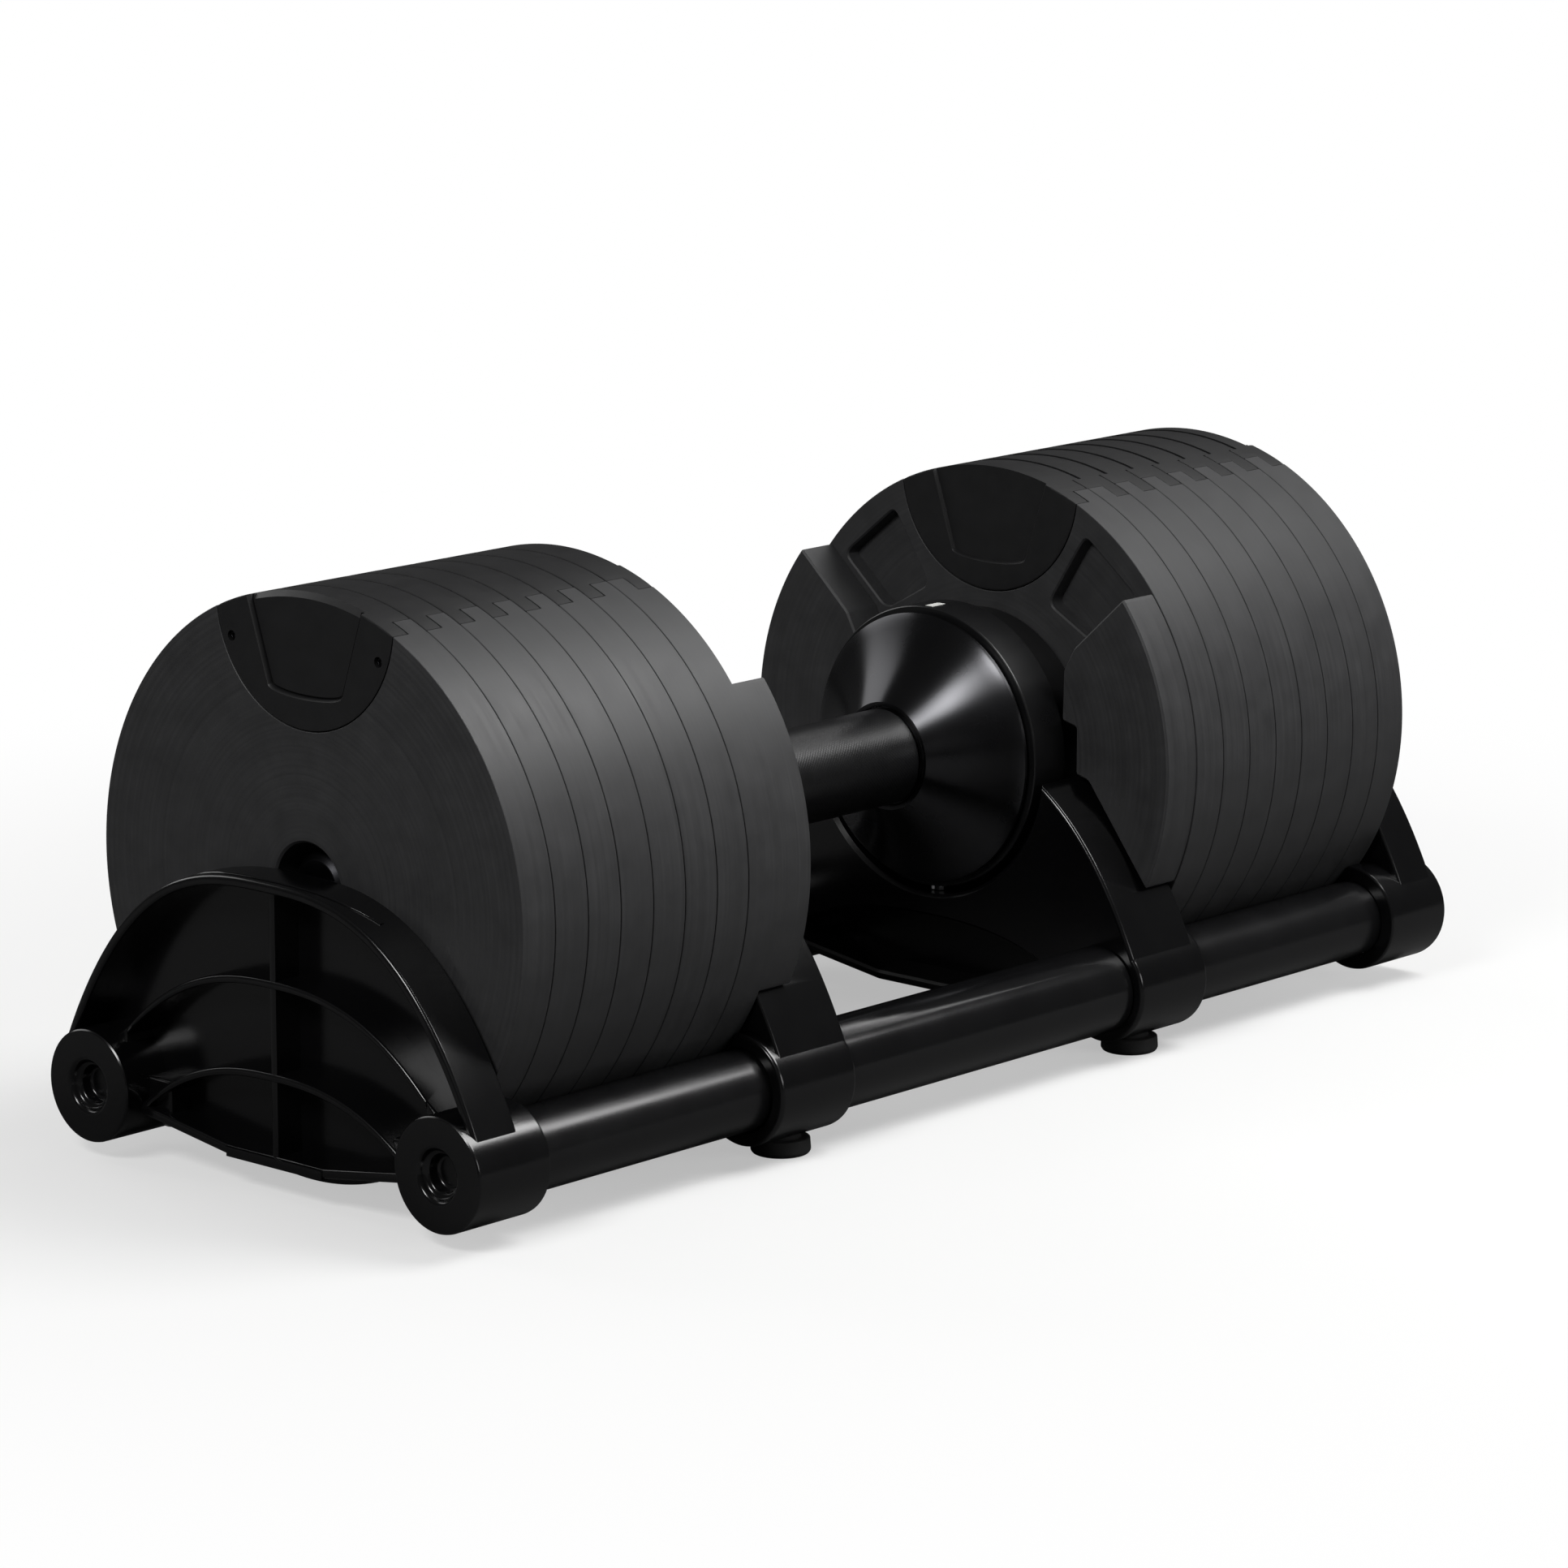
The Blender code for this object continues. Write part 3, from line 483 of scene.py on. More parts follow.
def dress(tree, shader, colours, tone, rough, grain, height, distance):
    """Links a pattern's tone to the colour, its wear to the roughness and its grain to a bump."""
    dark, light = (linear(colour) for colour in colours)
    mix = add(tree, "Mix", {0: tone, 6: dark, 7: light}, data_type="RGBA")
    tree.links.new(mix.outputs[2], shader.inputs["Base Color"])
    low, high = rough
    wear = add(tree, "MapRange", {"Value": tone, "To Min": low, "To Max": high})
    tree.links.new(wear.outputs[0], shader.inputs["Roughness"])
    bump = add(tree, "Bump", {"Height": grain, "Strength": height, "Distance": distance})
    tree.links.new(bump.outputs[0], shader.inputs["Normal"])


def cloudy(tree, place, size, detail=3.0, stretch=(1, 1, 1)):
    """Soft noise with features of about this many millimetres."""
    scaled = add(tree, "Mapping", {"Vector": place, "Scale": stretch})
    wanted = {"Vector": scaled.outputs[0], "Scale": per_mm(size), "Detail": detail}
    return add(tree, "TexNoise", wanted).outputs[0]


def turning_marks(tree, place, pitch):
    """Fine rings left by a lathe: they follow the radius on a face and the length on a rim."""
    split = add(tree, "SeparateXYZ", {"Vector": place})
    flat = add(tree, "CombineXYZ", {"X": split.outputs["X"], "Y": split.outputs["Y"]})
    radius = add(tree, "VectorMath", {0: flat.outputs[0]}, operation="LENGTH").outputs["Value"]
    # A faint slow drift with the angle keeps the rings from being perfect.
    drift = add(tree, "VectorMath", {0: flat.outputs[0], "Scale": 0.004}, operation="SCALE")
    rings = add(tree, "CombineXYZ", {"X": radius, "Y": split.outputs["Z"]})
    where = add(tree, "VectorMath", {0: rings.outputs[0], 1: drift.outputs[0]}, operation="ADD")
    wanted = {"Vector": where.outputs[0], "Scale": per_mm(pitch), "Detail": 2.0}
    return add(tree, "TexNoise", wanted).outputs[0]


def coated_plate_steel():
    """Turned steel under a thin satin grey-black powder coat: a soft sheen along the rim, faint
    rings from the lathe that the coat doesn't hide, and a slightly uneven tone."""
    made, tree, shader, place = surface("satin_coated_turned_steel", 0.5, IOR=1.5)
    rings = turning_marks(tree, place, 1.1)  # real marks are near 0.2 mm, drawn coarser to show
    clouds = cloudy(tree, place, 9.0, 5.0)
    tone = add(tree, "Math", {0: rings, 1: clouds}, operation="MULTIPLY").outputs[0]
    spread = add(tree, "MapRange", {"Value": tone, "From Min": 0.08, "From Max": 0.45}).outputs[0]
    peel = cloudy(tree, place, 0.8, 2.0)
    grain = add(tree, "Math", {0: peel, 1: rings}, operation="ADD").outputs[0]
    dress(tree, shader, ("#2e2e2f", "#3b3b3c"), spread, (0.46, 0.58), grain, 0.20, 0.00004)
    return made


def moulded_nylon():
    """Glass-filled nylon from a spark-eroded mould: near black, satin, with a fine even grain."""
    made, tree, shader, place = surface("moulded_glass_filled_nylon", 0.42, IOR=1.53)
    clouds = cloudy(tree, place, 6.0)
    grain = cloudy(tree, place, 0.45, 1.0)  # real grain is 0.05 mm, drawn coarser to show
    dress(tree, shader, ("#111112", "#19191a"), clouds, (0.42, 0.54), grain, 0.20, 0.00003)
    return made


def moulded_abs():
    """Black ABS from a polished mould: glossy, with a slow waviness where the thick ribs sank,
    and the faint dulling of handling."""
    made, tree, shader, place = surface("gloss_moulded_abs", 0.2, IOR=1.54)
    clouds = cloudy(tree, place, 18.0, 4.0)
    sink = cloudy(tree, place, 26.0, 1.0)
    fine = cloudy(tree, place, 0.9, 2.0)
    faint = add(tree, "Math", {0: fine, 1: 0.04}, operation="MULTIPLY").outputs[0]
    grain = add(tree, "Math", {0: sink, 1: faint}, operation="ADD").outputs[0]
    dress(tree, shader, ("#060607", "#0b0b0c"), clouds, (0.14, 0.24), grain, 0.25, 0.0005)
    return made


def enamelled_rail():
    """Drawn steel bar under black enamel: smooth, half gloss, with long faint draw lines."""
    made, tree, shader, place = surface("black_enamelled_bar", 0.3, IOR=1.5)
    lines = cloudy(tree, place, 1.4, 2.0, (1, 1, 0.02))
    clouds = cloudy(tree, place, 12.0)
    dress(tree, shader, ("#0c0c0d", "#131314"), clouds, (0.20, 0.30), lines, 0.2, 0.00005)
    return made


def gloss_sleeve():
    """Extruded black PVC tube: the glossiest piece, with extrusion lines along its length."""
    made, tree, shader, place = surface("extruded_pvc_sleeve", 0.2, IOR=1.53)
    lines = cloudy(tree, place, 2.2, 2.0, (1, 1, 0.01))
    clouds = cloudy(tree, place, 15.0)
    dress(tree, shader, ("#0b0b0c", "#121213"), clouds, (0.13, 0.20), lines, 0.2, 0.00006)
    return made


def knurled_grip():
    """Black coated steel with a shallow diamond knurl, worn a little smoother in patches."""
    made, tree, shader, place = surface("knurled_coated_steel", 0.34, IOR=1.5)
    split = add(tree, "SeparateXYZ", {"Vector": place})
    angle = add(tree, "Math", {0: split.outputs["Y"], 1: split.outputs["X"]}, operation="ARCTAN2")
    round_way = add(tree, "Math", {0: angle.outputs[0], 1: GRIP_R}, operation="MULTIPLY").outputs[0]
    teeth = round(2 * math.pi * GRIP_R * per_mm(1.2))  # whole knurl teeth round the grip
    pace = teeth / GRIP_R  # radians of pattern to a metre
    waves = []
    for lean in (1.0, -1.0):
        along = add(tree, "Math", {0: split.outputs["Z"], 1: lean}, operation="MULTIPLY").outputs[0]
        both = add(tree, "Math", {0: round_way, 1: along}, operation="ADD").outputs[0]
        turn = add(tree, "Math", {0: both, 1: pace}, operation="MULTIPLY").outputs[0]
        waves.append(add(tree, "Math", {0: turn}, operation="SINE").outputs[0])
    diamonds = add(tree, "Math", {0: waves[0], 1: waves[1]}, operation="ADD").outputs[0]
    clouds = cloudy(tree, place, 9.0)
    dress(tree, shader, ("#0b0b0c", "#121213"), clouds, (0.28, 0.38), diamonds, 0.12, 0.00005)
    return made


def black_nickel():
    """Turned steel plated black nickel: a dark mirror whose lathe rings, too fine to draw one by
    one, pull each highlight out into a wedge across them."""
    made, tree, shader, place = surface(
        "black_nickel_turned_steel", 0.3, 1.0, Anisotropic=0.85, Anisotropic_Rotation=0.25
    )
    across = add(tree, "Tangent", direction_type="RADIAL", axis="Z").outputs[0]
    tree.links.new(across, shader.inputs["Tangent"])
    rings = turning_marks(tree, place, 1.2)
    clouds = cloudy(tree, place, 16.0)
    dress(tree, shader, ("#464648", "#525254"), clouds, (0.24, 0.32), rings, 0.10, 0.00002)
    return made


def enamelled_hub():
    """Turned steel under black stoving enamel: near black and half gloss, with its lathe rings
    almost filled."""
    made, tree, shader, place = surface("black_enamelled_turned_hub", 0.32, IOR=1.5)
    rings = turning_marks(tree, place, 1.2)
    clouds = cloudy(tree, place, 10.0)
    dress(tree, shader, ("#0d0d0e", "#151516"), clouds, (0.24, 0.34), rings, 0.10, 0.00003)
    return made


def ground_steel():
    """Ground and oiled tool steel: pale, with fine grinding rings."""
    made, tree, shader, place = surface("ground_oiled_steel", 0.3, 1.0)
    rings = turning_marks(tree, place, 0.5)
    clouds = cloudy(tree, place, 4.0)
    dress(tree, shader, ("#a9aaac", "#bfc0c1"), clouds, (0.24, 0.38), rings, 0.3, 0.00003)
    return made


def black_oxide():
    """Ground bar blackened in an oxide bath: deep grey-black with a dull metallic sheen."""
    made, tree, shader, place = surface("black_oxide_steel", 0.38, 1.0)
    rings = turning_marks(tree, place, 0.6)
    clouds = cloudy(tree, place, 5.0)
    dress(tree, shader, ("#232325", "#2e2e30"), clouds, (0.32, 0.46), rings, 0.3, 0.00003)
    return made


def bright_zinc():
    """Bright zinc plate on a small screw: light, cold and a little cloudy."""
    made, tree, shader, place = surface("bright_zinc_plate", 0.24, 1.0)
    clouds = cloudy(tree, place, 1.5)
    fine = cloudy(tree, place, 0.3)
    dress(tree, shader, ("#bfc1c3", "#d6d7d6"), clouds, (0.18, 0.34), fine, 0.2, 0.00003)
    return made


def foot_rubber():
    """Moulded nitrile rubber: matt charcoal with a fine pebbled skin."""
    made, tree, shader, place = surface("moulded_nitrile_rubber", 0.8, IOR=1.52)
    clouds = cloudy(tree, place, 4.0)
    pebbles = cloudy(tree, place, 0.5, 1.0)
    dress(tree, shader, ("#171717", "#212121"), clouds, (0.72, 0.88), pebbles, 0.5, 0.00008)
    return made


def index_enamel():
    """White stoving enamel filled into the pointer mark: clean, half gloss, a little uneven."""
    made, tree, shader, place = surface("white_index_enamel", 0.35, IOR=1.5)
    clouds = cloudy(tree, place, 1.2)
    fine = cloudy(tree, place, 0.3)
    dress(tree, shader, ("#dededa", "#f0f0ec"), clouds, (0.30, 0.45), fine, 0.15, 0.00003)
    return made


PLATE_FINISH = coated_plate_steel()
GUIDE_FINISH = moulded_nylon()
CRADLE_FINISH = moulded_abs()
RAIL_FINISH = enamelled_rail()
SLEEVE_FINISH = gloss_sleeve()
GRIP_FINISH = knurled_grip()
FLANGE_FINISH = black_nickel()
HUB_FINISH = enamelled_hub()
BARE_FINISH = ground_steel()
BAR_FINISH = black_oxide()
ZINC_FINISH = bright_zinc()
RUBBER_FINISH = foot_rubber()
MARK_FINISH = index_enamel()

# ---- Plates and guides ----


def notch_corner(notch_r):
    """Where a guide's round edge meets the plate's rim."""
    up = (PLATE_R**2 + GUIDE_CENTRE**2 - notch_r**2) / (2 * GUIDE_CENTRE)
    return math.sqrt(PLATE_R**2 - up**2), up


def notch_edge(notch_r, seat_r):
    across, up = notch_corner(notch_r)
    start = math.atan2(up - GUIDE_CENTRE, across)
    return arc(seat_r, start, -math.pi - start, FINE, GUIDE_CENTRE)


def notched_disc(notch_r):
    """The rim the long way round, and back along the guide's notch."""
    across, up = notch_corner(notch_r)
    corner = math.atan2(up, across)
    rim = arc(PLATE_R, corner, -math.pi - corner, RIM)
    return rim + notch_edge(notch_r, notch_r)[::-1][1:-1]


def guide_outline(notch_r):
    under = notch_edge(notch_r, notch_r - FIT)
    corner = math.atan2(under[0][1], under[0][0])
    return under + arc(PLATE_R, math.pi - corner, corner, FINE)[1:-1]


def flange_seat_outline():
    under = notch_edge(GUIDE_FLANGE_R, GUIDE_FLANGE_R)
    above = PLATE_R + 4 * PAST
    return under + [(under[-1][0], above), (under[0][0], above)]


def tongue_outline(clearance, top_up=None):
    """The dovetail tongue, level with the rim, or open above it where it is a pocket."""
    foot = PLATE_R - TONGUE_FOOT
    rim_up = math.sqrt(PLATE_R**2 - TONGUE_HALF_TOP**2)
    slope = (TONGUE_HALF_TOP - TONGUE_HALF_BOTTOM) / (rim_up - foot)
    reach_up = rim_up if top_up is None else top_up
    half_top = TONGUE_HALF_BOTTOM + slope * (reach_up - foot) + clearance
    half_foot = TONGUE_HALF_BOTTOM + clearance
    belly = [
        (half_foot * math.cos(a), foot - clearance - TONGUE_BELLY * math.sin(a))
        for a in (math.pi * i / 12 for i in range(13))
    ]
    if top_up is not None:
        return belly + [(-half_top, top_up), (half_top, top_up)]
    corner = math.atan2(rim_up, half_top)
    return belly + arc(PLATE_R - FIT, math.pi - corner, corner, 16)


TONGUE = tongue_outline(0.0)
OPEN_TONGUE = tongue_outline(0.0, PLATE_R + 4 * PAST)
SOCKET = tongue_outline(0.0005, PLATE_R + 4 * PAST)


def plate_solid(name, seat_far):
    """A plate from out = 0, with the stepped seat for its guide on the far or the near side."""
    plate = extruded(
        name, notched_disc(GUIDE_BODY_R), edges(0.0, PLATE_T, PLATE_CHAMFER, PLATE_CHAMFER, 1)
    )
    if seat_far:
        seat = mouth_far(PLATE_T - GUIDE_FLANGE_T, PLATE_T, PLATE_CHAMFER)
    else:
        seat = mouth_near(0.0, GUIDE_FLANGE_T, PLATE_CHAMFER)
    return cut(plate, extruded(name + "_seat", flange_seat_outline(), seat))


def guide_solid(name, flange, body):
    """A guide's wide flange and narrow body, each from near to far."""
    guide = extruded(
        name, guide_outline(GUIDE_FLANGE_R), edges(*flange, GUIDE_ROUND, GUIDE_ROUND, 2)
    )
    body_sides = edges(*body, GUIDE_ROUND, GUIDE_ROUND, 2)
    return joined(guide, extruded(name + "_body", guide_outline(GUIDE_BODY_R), body_sides))


def with_tongue(guide):
    far = PLATE_T + TONGUE_LENGTH
    profile = edges(PLATE_T - 2 * GUIDE_ROUND, far, 0.0001, GUIDE_ROUND, 2)
    return joined(guide, extruded("tongue", TONGUE, profile))


def with_socket(guide):
    return cut(guide, extruded("socket", SOCKET, mouth_near(0.0, TONGUE_LENGTH, GUIDE_ROUND)))


def with_panel(guide):
    """The outermost guide's recessed panel: a groove round it and a sloped top edge."""
    bed = PLATE_T - PANEL_DEPTH
    recess = extruded("recess", OPEN_TONGUE, mouth_far(bed, PLATE_T, GUIDE_ROUND, PANEL_DRAFT))
    trench = [(-PANEL_DRAFT, bed - PANEL_GROOVE), (-PANEL_DRAFT, PLATE_T)]
    groove = extruded("groove", OPEN_TONGUE, trench)
    island = grown(anticlockwise(OPEN_TONGUE), -PANEL_GROOVE)
    cut(groove, extruded("island", island, [(0.0, bed - 2 * PANEL_GROOVE), (0.0, PLATE_T + PAST)]))
    wedge = extruded("wedge", island, [(0.0, bed - PANEL_SLOPE), (0.0, PLATE_T)])
    low, high = bed - 2 * PANEL_SLOPE, bed + 2 * PAST
    cone = turned("cone", [
        (low, 0.0), (low, PLATE_R + PANEL_SLOPE),
        (high, PLATE_R - PANEL_SLOPE - 2 * PAST), (high, 0.0),
    ], RIM)
    cut(guide, recess, groove, cut(wedge, cone))
    across, up = GUIDE_SCREW_AT
    seat_bottom = PLATE_T - GUIDE_SCREW_SEAT
    for where in (-across, across):
        cut(guide, rod("screw_seat", 1.3 * GUIDE_SCREW_R, seat_bottom, PLATE_T + PAST, where, up))
    return guide


def guide_screws():
    """Two small socket screws, sunk in the outermost guide."""
    across, up = GUIDE_SCREW_AT
    foot = PLATE_T - GUIDE_SCREW_FOOT
    head = PLATE_T - GUIDE_SCREW_HEAD
    profile = [(foot, 0.0), (foot, GUIDE_SCREW_R), (head, GUIDE_SCREW_R), (head, 0.0)]
    made = []
    for where in (-across, across):
        screw = turned("guide_screw", softened(profile, GUIDE_SCREW_ROUND), 32, where, up)
        socket = arc(GUIDE_SOCKET_R, 0, 2 * math.pi, 6, up, where)[:-1]
        cut(screw, extruded("hex", socket, mouth_far(head - GUIDE_SOCKET_DEPTH, head, 0.0001)))
        made.append(screw)
    return joined(*made)


def loose_plates():
    plate = plate_solid("loose_plate", True)
    cut(plate, rod("hole", PLATE_HOLE_R, -PLATE_CHAMFER, PLATE_T + PLATE_CHAMFER, flare=0.0008))
    seat = PLATE_T - GUIDE_FLANGE_T
    flange, body = (seat + FIT, PLATE_T), (0.0, seat + 3 * GUIDE_ROUND)
    guide = with_socket(with_tongue(guide_solid("loose_guide", flange, body)))
    last = with_panel(with_socket(guide_solid("last_guide", flange, body)))
    screws = guide_screws()
    for word, side in SIDES.items():
        for number in range(2, OUTERMOST + 1):
            tag = f"{word}_{number}"
            out = reach(f"plate_{tag}")[0]
            top = last if number == OUTERMOST else guide
            pairs = (
                ("weight_plate", plate, "plate_steel", PLATE_FINISH, f"plate_{tag}"),
                ("top_guide", top, "guide_nylon", GUIDE_FINISH, f"guide_{tag}"),
            )
            for kind, pattern, slot, finish, node in pairs:
                piece = copied(f"{kind}_{tag}", pattern, out)
                placed(piece, f"loose_plate_{tag}", side, finish, (node,))
        pair = copied(f"guide_screws_{word}", screws, reach(f"plate_{word}_{OUTERMOST}")[0])
        placed(pair, f"loose_plate_{word}_{OUTERMOST}", side, BAR_FINISH)
    for pattern in (plate, guide, last, screws):
        bpy.data.objects.remove(pattern, do_unlink=True)


def cheek_outline(grow):
    """A raised cheek, or the room round it where grow is more than nothing."""
    spread = 2 * grow / PLATE_R
    low = math.radians(CHEEK_LOW_ANGLE) - spread
    top = math.radians(CHEEK_TOP_ANGLE) + spread
    rim = arc(PLATE_R - CHEEK_RIM_INSET + grow, low, top, FINE)
    return rim + [(CHEEK_INNER + across - grow, up - grow) for across, up in CHEEK_STEPS]


def fixed_plates():
    """The inner plates: a disc with drafted pockets and two raised cheeks that cup the hub."""
    pocket = softened(list(FACE_POCKET), POCKET_CORNER, 4)
    pocket_sides = mouth_near(0.0, POCKET_DEPTH, 0.0005, POCKET_DRAFT)
    cheek = softened(cheek_outline(0.0), CHEEK_CORNER, 2)
    cheek_face = STACK_NEAR - CHEEK_DEPTH
    cheek_sides = edges(cheek_face, STACK_NEAR - 0.0001, CHEEK_ROUND, PLATE_CHAMFER, 1)
    into_place = Matrix.Translation((0, 0, STACK_NEAR))
    for word, side in SIDES.items():
        disc = plate_solid(f"fixed_plate_{word}", False)
        cut(disc, *(extruded("pocket", loop, pocket_sides) for loop in (pocket, mirrored(pocket))))
        cut(disc, rod("bore", HUB_SPIGOT_R + FIT, -PAST, PLATE_T + PAST))
        node = (f"inner_plate_{word}",)
        disc.data.transform(into_place)
        placed(disc, "handle", side, PLATE_FINISH, node)
        for end, loop in (("a", cheek), ("b", mirrored(cheek))):
            raised = extruded(f"plate_cheek_{word}_{end}", loop, cheek_sides)
            placed(raised, "handle", side, PLATE_FINISH, node)
        flange = (0.0, GUIDE_FLANGE_T - FIT)
        body = (GUIDE_FLANGE_T - 3 * GUIDE_ROUND, PLATE_T)
        guide = with_tongue(guide_solid(f"fixed_guide_{word}", flange, body))
        recess = mouth_near(0.0, PANEL_DEPTH, GUIDE_ROUND, PANEL_DRAFT)
        cut(guide, extruded("recess", OPEN_TONGUE, recess))
        guide.data.transform(into_place)
        placed(guide, "handle", side, GUIDE_FINISH, (f"inner_guide_{word}",))


# ---- Handle ----


def tube_profile(half, outer, inner, rounding):
    return softened([(half, outer), (-half, outer), (-half, inner), (half, inner)], rounding)


def grip():
    tube = turned("grip_tube", tube_profile(GRIP_HALF, GRIP_R, GRIP_BORE, 0.0006))
    placed(tube, "grip", 1, GRIP_FINISH, ("grip_sleeve",))


def flanges():
    """The dished cones that stop the hand, each with a small nose and a square-edged rim."""
    rim_near = FLANGE_FAR - FLANGE_RIM
    dish_out, dish_in = FLANGE_DISH_TOWARD
    cone = []
    for i in range(FLANGE_STEPS):
        share = i / FLANGE_STEPS
        straight = FLANGE_NOSE_R + (FLANGE_R - FLANGE_NOSE_R) * share
        dish = FLANGE_DISH * math.sin(math.pi * share)
        out = FLANGE_NEAR + (rim_near - FLANGE_NEAR) * share
        cone.append((out + dish * dish_out, straight - dish * dish_in))
    nose = [(FLANGE_NEAR + out, GRIP_R + above) for out, above in FLANGE_NOSE]
    rim = [
        (rim_near, FLANGE_R - 0.0004), (rim_near + 0.0004, FLANGE_R),
        (FLANGE_FAR - 0.0005, FLANGE_R), (FLANGE_FAR, FLANGE_R - 0.0005),
    ]
    bore = [(FLANGE_FAR, GRIP_BORE), (FLANGE_NEAR + FLANGE_NOSE[0][0], GRIP_BORE)]
    for word, side in SIDES.items():
        flange = turned(f"hand_flange_{word}", nose + cone + rim + bore, 128)
        placed(flange, "grip", side, FLANGE_FINISH, (f"flange_{word}",))


def hubs():
    """Each hub's ring stands behind its flange, with a short white mark on top to read against."""
    neck = HUB_NEAR + HUB_RING
    shoulder = STACK_NEAR - FIT
    mouth_r = HUB_BORE + HUB_RECESS
    outline = [
        (HUB_NEAR, mouth_r), (HUB_NEAR, HUB_R), (neck, HUB_R), (neck, HUB_NECK_R),
        (shoulder, HUB_NECK_R), (shoulder, HUB_SPIGOT_R), (HUB_FAR, HUB_SPIGOT_R),
        (HUB_FAR, HUB_BORE), (neck, HUB_BORE), (neck, mouth_r),
    ]
    low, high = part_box("lock_plunger_right")
    plunger_r = (high.x - low.x) / 2
    at_plunger = Matrix.Translation((0, 0, (low.x + high.x) / 2))
    half = math.radians(MARK_HALF_ANGLE)
    band = arc(HUB_R - MARK_SUNK, math.pi / 2 - half, math.pi / 2 + half, 6)
    band += arc(HUB_R + MARK_PROUD, math.pi / 2 + half, math.pi / 2 - half, 6)
    mark_near, mark_far = (HUB_NEAR + out for out in MARK_REACH)
    for word, side in SIDES.items():
        hub = turned(f"hub_ring_{word}", softened(outline, 0.0009, 3), 128)
        bore = rod("plunger_bore", plunger_r + FIT, HUB_BORE + 0.0055, HUB_R + PAST, flare=0.0006)
        bore.data.transform(at_plunger @ Matrix.Rotation(math.pi / 2, 4, "X"))
        cut(hub, bore)
        placed(hub, "handle", side, HUB_FINISH, (f"hub_{word}",))
        mark = extruded(f"index_mark_{word}", band, [(0, mark_near), (0, mark_far)])
        placed(mark, "handle", side, MARK_FINISH)


def locking_bars():
    """The bars through the plates: chamfered, centre-drilled tips, cam pins, half-round tails."""
    low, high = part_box("locking_bar_right")
    radius = high.y
    # The right pin points down from the bar's axis and the left one points up.
    pin_reach = {"right": AXIS_HEIGHT - low.z}
    pin_reach["left"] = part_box("locking_bar_left")[1].z - AXIS_HEIGHT
    travel = reach("plate_right_8")[0] - reach("plate_right_2")[0] + PLATE_T + FIT
    flat_end = BAR_TAIL + 2 * (travel - BAR_TAIL) + PAST
    profile = [
        (BAR_TIP - CENTRE_DRILL_DEPTH, 0.0), (BAR_TIP, CENTRE_DRILL_R), (BAR_TIP, radius * 0.8),
        (BAR_TIP - radius * 0.2, radius), (BAR_TAIL, radius), (BAR_TAIL, 0.0),
    ]
    for word, side in SIDES.items():
        bar = turned(f"plate_bar_{word}", softened(profile, 0.0003, 2, False), 64)
        away = sorted((side * -FIT, side * (radius + PAST)))
        flat = block("flat", (-radius - PAST, radius + PAST), away, (BAR_TAIL - PAST, flat_end))
        up = pin_reach[word]
        pin_profile = [(0.0, 0.0), (0.0, CAM_PIN_R), (up, CAM_PIN_R), (up, 0.0)]
        pin = turned("pin", softened(pin_profile, 0.0004, 3, False), 32)
        lean = Matrix.Rotation(side * math.pi / 2, 4, "X")
        pin.data.transform(Matrix.Translation((0, 0, BAR_TAIL + CAM_PIN_OUT)) @ lean)
        joined(cut(bar, flat), pin)
        placed(bar, f"bar_{word}", side, BAR_FINISH, (f"locking_bar_{word}",))


def hidden_works():
    """The pieces inside the grip keep their own solids, in ground steel."""
    for node in ("core_tube", "cam_sleeve", "lock_plunger_left", "lock_plunger_right"):
        NODES[node].data.materials.clear()
        NODES[node].data.materials.append(BARE_FINISH)


# ---- Cradle ----


def bracket_point(share, drop):
    """A point this share of the way across to a boss and down from the crest to the rail."""
    return share * BRACKET_HALF, CREST - drop * BRACKET_DROP


def spaced(line, gap=0.0015):
    """The line without points that crowd their neighbours, so that it can be moved sideways."""
    kept = [line[0]]
    for point in line[1:-1]:
        if math.dist(point, kept[-1]) > gap and math.dist(point, line[-1]) > 1.5 * gap:
            kept.append(point)
    return kept + [line[-1]]


def crest_line(inset=0.0):
    """The bracket's shoulder from the crest to the boss, or a line inside it."""
    power, root = CREST_CURVE
    line = []
    for i in range(FINE + 1):
        share = math.sin(math.pi / 2 * i / FINE)
        across, up = bracket_point(share, 1 - (1 - share**power) ** root)
        toward = math.atan2(up + BRACKET_DROP, across)
        line.append((max(0.0, across - inset * math.cos(toward)), up - inset * math.sin(toward)))
    return spaced(line)


def rib_line(start, curve, reach_share, inset=0.0, steps=20):
    """A rib's arch from the middle outwards, falling to the boss."""
    fall, power = curve
    shares = [reach_share * i / steps for i in range(steps + 1)]
    line = [bracket_point(share, start + fall * share**power) for share in shares]
    return [(across, up - inset) for across, up in line]


def lip_up(across):
    """Height of the underside: level in the middle, rising from there to each boss."""
    middle = bracket_point(0.0, LIP_MIDDLE)[1]
    far, side = bracket_point(LIP_REACH, LIP_SIDE)
    rise = max(0.0, abs(across) - LIP_PAD_HALF) / (far - LIP_PAD_HALF)
    return middle + (side - middle) * rise


def whole(half):
    """A line from the middle outwards, with its mirror image before it."""
    return mirrored(half)[:-1] + half


def strip(upper, lower):
    """The band between two lines, each from the middle outwards."""
    return whole(upper) + whole(lower)[::-1]


def blank_outline(inset=0.0):
    """The whole bracket, seen along the handle."""
    under = [(a, lip_up(a) + inset) for a in (RAIL_ACROSS, LIP_PAD_HALF, 0.0)]
    half = crest_line(inset) + under
    return half + mirrored(half)[1:-1]


def sweep(near, far):
    """The room that the plates come down through."""
    radius = PLATE_R + 0.0005
    return turned("sweep", [(near, 0.0), (near, radius), (far, radius), (far, 0.0)], RIM)


